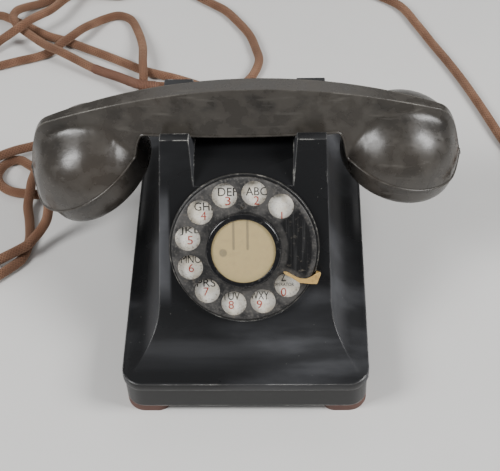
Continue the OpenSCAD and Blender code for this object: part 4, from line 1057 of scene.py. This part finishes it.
def end_round(x):
    t = max(0.0, (abs(x) - end_of(x) + 7) / 7)
    return math.sqrt(max(0.0, 1 - 0.8 * t * t))


def dome(cup, x, z):
    """Half the width of a cup's dome at a point of the handset's middle plane."""
    c, s = math.cos(math.radians(cup[3])), math.sin(math.radians(cup[3]))
    above = max(0.0, -(x - cup[0]) * s + (z - cup[1]) * c) / dome_h
    side = (x - cup[0]) * c + (z - cup[1]) * s
    return math.sqrt(max(0.0, cup[2] ** 2 * (1 - above ** 2) - side ** 2))


def crest_w(x):
    return crest_half - 2.6 * (abs(x) / 112) ** 3


def half_width(x, z):
    handle = crest_w(x) + side_spread * max(0.0, crest(x) - z)
    cup = dome(tx if x < 0 else rx, x, z)
    return (handle ** blend_k + cup ** blend_k) ** (1 / blend_k) * end_round(x)


def rim_z(cup, x):
    return cup[1] + (x - cup[0]) * math.tan(math.radians(cup[3]))


def dome_low(cup, x):
    c, s = math.cos(math.radians(cup[3])), math.sin(math.radians(cup[3]))
    p, r2, h2 = x - cup[0], cup[2] ** 2, dome_h ** 2
    a = s * s / r2 + c * c / h2
    b = 2 * p * c * s * (1 / r2 - 1 / h2)
    k = p * p * (c * c / r2 + s * s / h2) - 1
    return cup[1] + (-b - math.sqrt(max(0.0, b * b - 4 * a * k))) / (2 * a)


def lower(x):
    """The lower edge: flat under the handle, then down a round corner to each cup's rim."""
    cup = tx if x < 0 else rx
    sign, reach = (1 if cup[3] > 0 else -1), cup[2] * math.cos(math.radians(cup[3]))
    inner, outer = abs(cup[0] + sign * reach), abs(cup[0] - sign * reach)
    if abs(x) >= outer:
        return max(rim_z(cup, x), dome_low(cup, x))
    if abs(x) >= inner:
        return rim_z(cup, x)
    t = (inner - abs(x)) / under_run
    start = rim_z(cup, cup[0] + sign * reach)
    return start + (under_z - start) * math.sqrt(1 - (1 - t) ** 2) if t < 1 else under_z


side_steps = 46
stations = []
for a, b, count in ((tx_end + 0.1, -112, 16), (-112, -62, 62), (-62, -50, 30), (-50, 46, 40), (46, 60, 34),
                    (60, 110, 62), (110, rx_end - 0.1, 16)):
    stations += [a + (b - a) * i / count for i in range(count)]
stations.append(rx_end - 0.1)
heights, widths = [], []
for x in stations:
    top = crest(x)
    low = min(lower(x), top - 1.5)
    column = [top + (low - top) * (j / side_steps) ** 0.95 for j in range(side_steps + 1)]
    heights.append(column)
    widths.append([crest_w(x) * end_round(x)] + [half_width(x, z) for z in column[1:]])
for _ in range(14):
    before = [list(column) for column in widths]
    for i in range(2, len(stations) - 2):
        if dome(tx if stations[i] < 0 else rx, stations[i], heights[i][side_steps // 2]) > 0:
            for j in range(3, side_steps - 1):
                widths[i][j] = (4 * before[i][j] + before[i - 1][j] + before[i + 1][j]
                                + before[i][j - 1] + before[i][j + 1]) / 8
handset_rings = []
for x, column, reach in zip(stations, heights, widths):
    near = [(x, y, z) for y, z in zip(reach, column)]
    ring = near + [(x, -y, z) for x, y, z in reversed(near)]
    handset_rings.append([to_handset @ Vector(p) for p in ring])
handle = lofted("handset_moulding", handset_rings, 40)
outwards(handle)
recesses = []
for cup in (tx, rx):
    recesses.append(peg("recess", cup[2] - cup_wall, -10, 20, to_cup(cup)))
    recesses.append(peg("well", 16, -16, -9, to_cup(cup), 64))
cut(handle, recesses, 40)


def bakelite():
    """Brown-black phenolic: a satin sheen, fine pits and scratches, faint oily dark patches, and a painted
    shade band below the crest.
    """
    finish = Finish("brown_black_phenolic", {"Specular IOR Level": 0.55})
    at = finish.node("ShaderNodeTexCoord", output="Object")
    along, _, height = finish.parts(at)
    off = along - crest_x * mm
    below = crest_z * mm - off * off / (2 * crest_r * mm) - height
    crown = 1 - below.between(0.0012, 0.003)
    ends = abs(off).between(0.02, 0.065)
    rubs = finish.noise(48, 5).between(0.4, 0.6)
    worn = finish.edges(1.3, 0.012, 0.09) * (crown * 0.8 + 0.2) * (ends * 0.8 + 0.3) * (rubs * 0.7 + 0.3)
    cloud = finish.noise(9, 3).between(0.3, 0.7)
    warm = finish.noise(13, 3, (1, 1.5, 1)).between(0.4, 0.75)
    oily = finish.noise(75, 7, (1, 1, 1.6)).between(0.42, 0.75)
    grain = finish.noise(120, 6).between(0.42, 0.62)
    pits = finish.specks(520, 0.18) * finish.noise(60, 3).between(0.54, 0.66)
    hairs = finish.noise(300, 4, (0.15, 1, 1)).between(0.6, 0.75)
    body = finish.blend(cloud, (0.032, 0.0282, 0.0238), (0.05, 0.0447, 0.038))
    body = finish.blend(warm * 0.3, body, (0.08, 0.06, 0.046))
    body = finish.blend(grain * 0.25, body, (0.1, 0.09, 0.077))
    # A dark band just below the crest, mottled by the oily patches: painted shade.
    painted_shade_under_crest = below.between(0.0015, 0.004) * (1 - below.between(0.008, 0.016))
    body = finish.blend(oily * (painted_shade_under_crest * 0.5 + 0.12), body, (0.011, 0.0102, 0.0094))
    body = finish.blend(worn * 0.5 + hairs * 0.08, body, (0.36, 0.34, 0.3))
    finish.set("Base Color", finish.blend(pits * 0.22, body, (0.22, 0.2, 0.17)))
    finish.set("Roughness", 0.22 + cloud * 0.08 - oily * 0.03 + grain * 0.09 + hairs * 0.12)
    relief = finish.noise(520, 4) * 0.6 + pits * 0.5 + grain * 0.3 + finish.noise(90, 3) * 0.6
    finish.bump(relief, 0.06, easing=0.7)
    return finish.material


warm_bakelite = bakelite()
dress(handle, warm_bakelite, "handset")
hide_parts("handset_handle")

bead_near = []
for i in range(241):
    t = math.pi * i / 240
    x = (tx_end + rx_end) / 2 - (rx_end - tx_end - 0.3) / 2 * math.cos(t)
    low = min(lower(x), crest(x) - 1.5)
    bead_near.append(Vector((x, half_width(x, low), low + 0.6)))
bead = bead_near + [Vector((p.x, -p.y, p.z)) for p in reversed(bead_near)]
bead = run_through([to_handset @ p for p in bead + bead[:1]], 1.6)
dress(braided_tube("handset_bead", bead, 0.7, 8), warm_bakelite, "handset")


# ---------- transmitter and receiver caps ----------
# Screwed caps of the same resin with rounded rims, one deeper than the other. Small round sound
# holes open in their faces, with the transmitter and receiver capsules behind them.
def cap(name, cup, depth, circles):
    r = cup[2] + 0.4
    outline = [(r - 3, 0.0), (r - 0.5, 0.0), (r - 0.1, 0.3), (r, 0.8), (r, depth * 0.5)]
    for k in range(13):
        a = math.radians(90 * k / 12)
        outline.append((r - 4.5 + 4.5 * math.cos(a) ** 0.9, depth * 0.55 + depth * 0.45 * math.sin(a)))
    outline += [(r - 8, depth), (6, depth), (0.01, depth), (0.01, depth - 2.6), (r - 3, depth - 2.6)]
    made = turned(name, outline, to_cup(cup), 128, 40)
    holes = []
    for circle, count in circles:
        for i in range(count):
            a = math.tau * i / count
            holes.append(peg("sound_hole", 1.3, depth - 4, depth + 1, to_cup(cup) @ Matrix.Translation(
                (circle * math.cos(a), circle * math.sin(a), 0)), 20))
    cut(made, holes, 40)
    return dress(made, warm_bakelite, "handset")


transmitter_cap = cap("transmitter_cap_ring", tx, 15.3, [(0.5, 1), (7, 6), (14, 12)])
receiver_cap = cap("receiver_cap_ring", rx, 13.4, [(0.5, 1), (6, 6)])
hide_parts("transmitter_cap")
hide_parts("receiver_cap")
dress_cad(["transmitter_unit"], steel)
dress_cad(["receiver_unit", "transmitter_contacts"], brass)

# ---------- floor and light ----------
# A plain pale floor, a soft lamp on each side, and a wide weaker one high up behind.
reach = 4000
floor = piece("floor", [(-reach, -reach, 0), (reach, -reach, 0), (reach, reach, 0), (-reach, reach, 0)],
              [(0, 1, 2, 3)])
floor_paper = Finish("floor_paper", {"Specular IOR Level": 0.2})
floor_paper.set("Base Color", floor_paper.blend(
    floor_paper.noise(30, 4), (0.74, 0.73, 0.71), (0.77, 0.76, 0.74)))
floor_paper.set("Roughness", 0.85 + floor_paper.noise(200) * 0.05)
floor.data.materials.append(floor_paper.material)

for name, place, size, power in (
        ("left_softbox", (-0.75, -0.35, 0.85), (0.36, 0.5), 10.3),
        ("right_softbox", (0.8, -0.2, 0.8), (0.36, 0.5), 11.0),
        ("back_softbox", (0.0, 0.85, 0.95), (1.1, 0.35), 1.6)):
    lamp = bpy.data.lights.new(name, "AREA")
    lamp.shape, lamp.size, lamp.size_y, lamp.energy = "RECTANGLE", *size, power
    holder = bpy.data.objects.new(name, lamp)
    holder.location = place
    holder.rotation_euler = (Vector((0, 0, 0.06)) - Vector(place)).to_track_quat("-Z", "Y").to_euler()
    bpy.context.scene.collection.objects.link(holder)

world = bpy.data.worlds.new("studio")
world.use_nodes = True
world.node_tree.nodes["Background"].inputs["Color"].default_value = (0.97, 0.98, 1.0, 1)
world.node_tree.nodes["Background"].inputs["Strength"].default_value = 0.24
bpy.context.scene.world = world
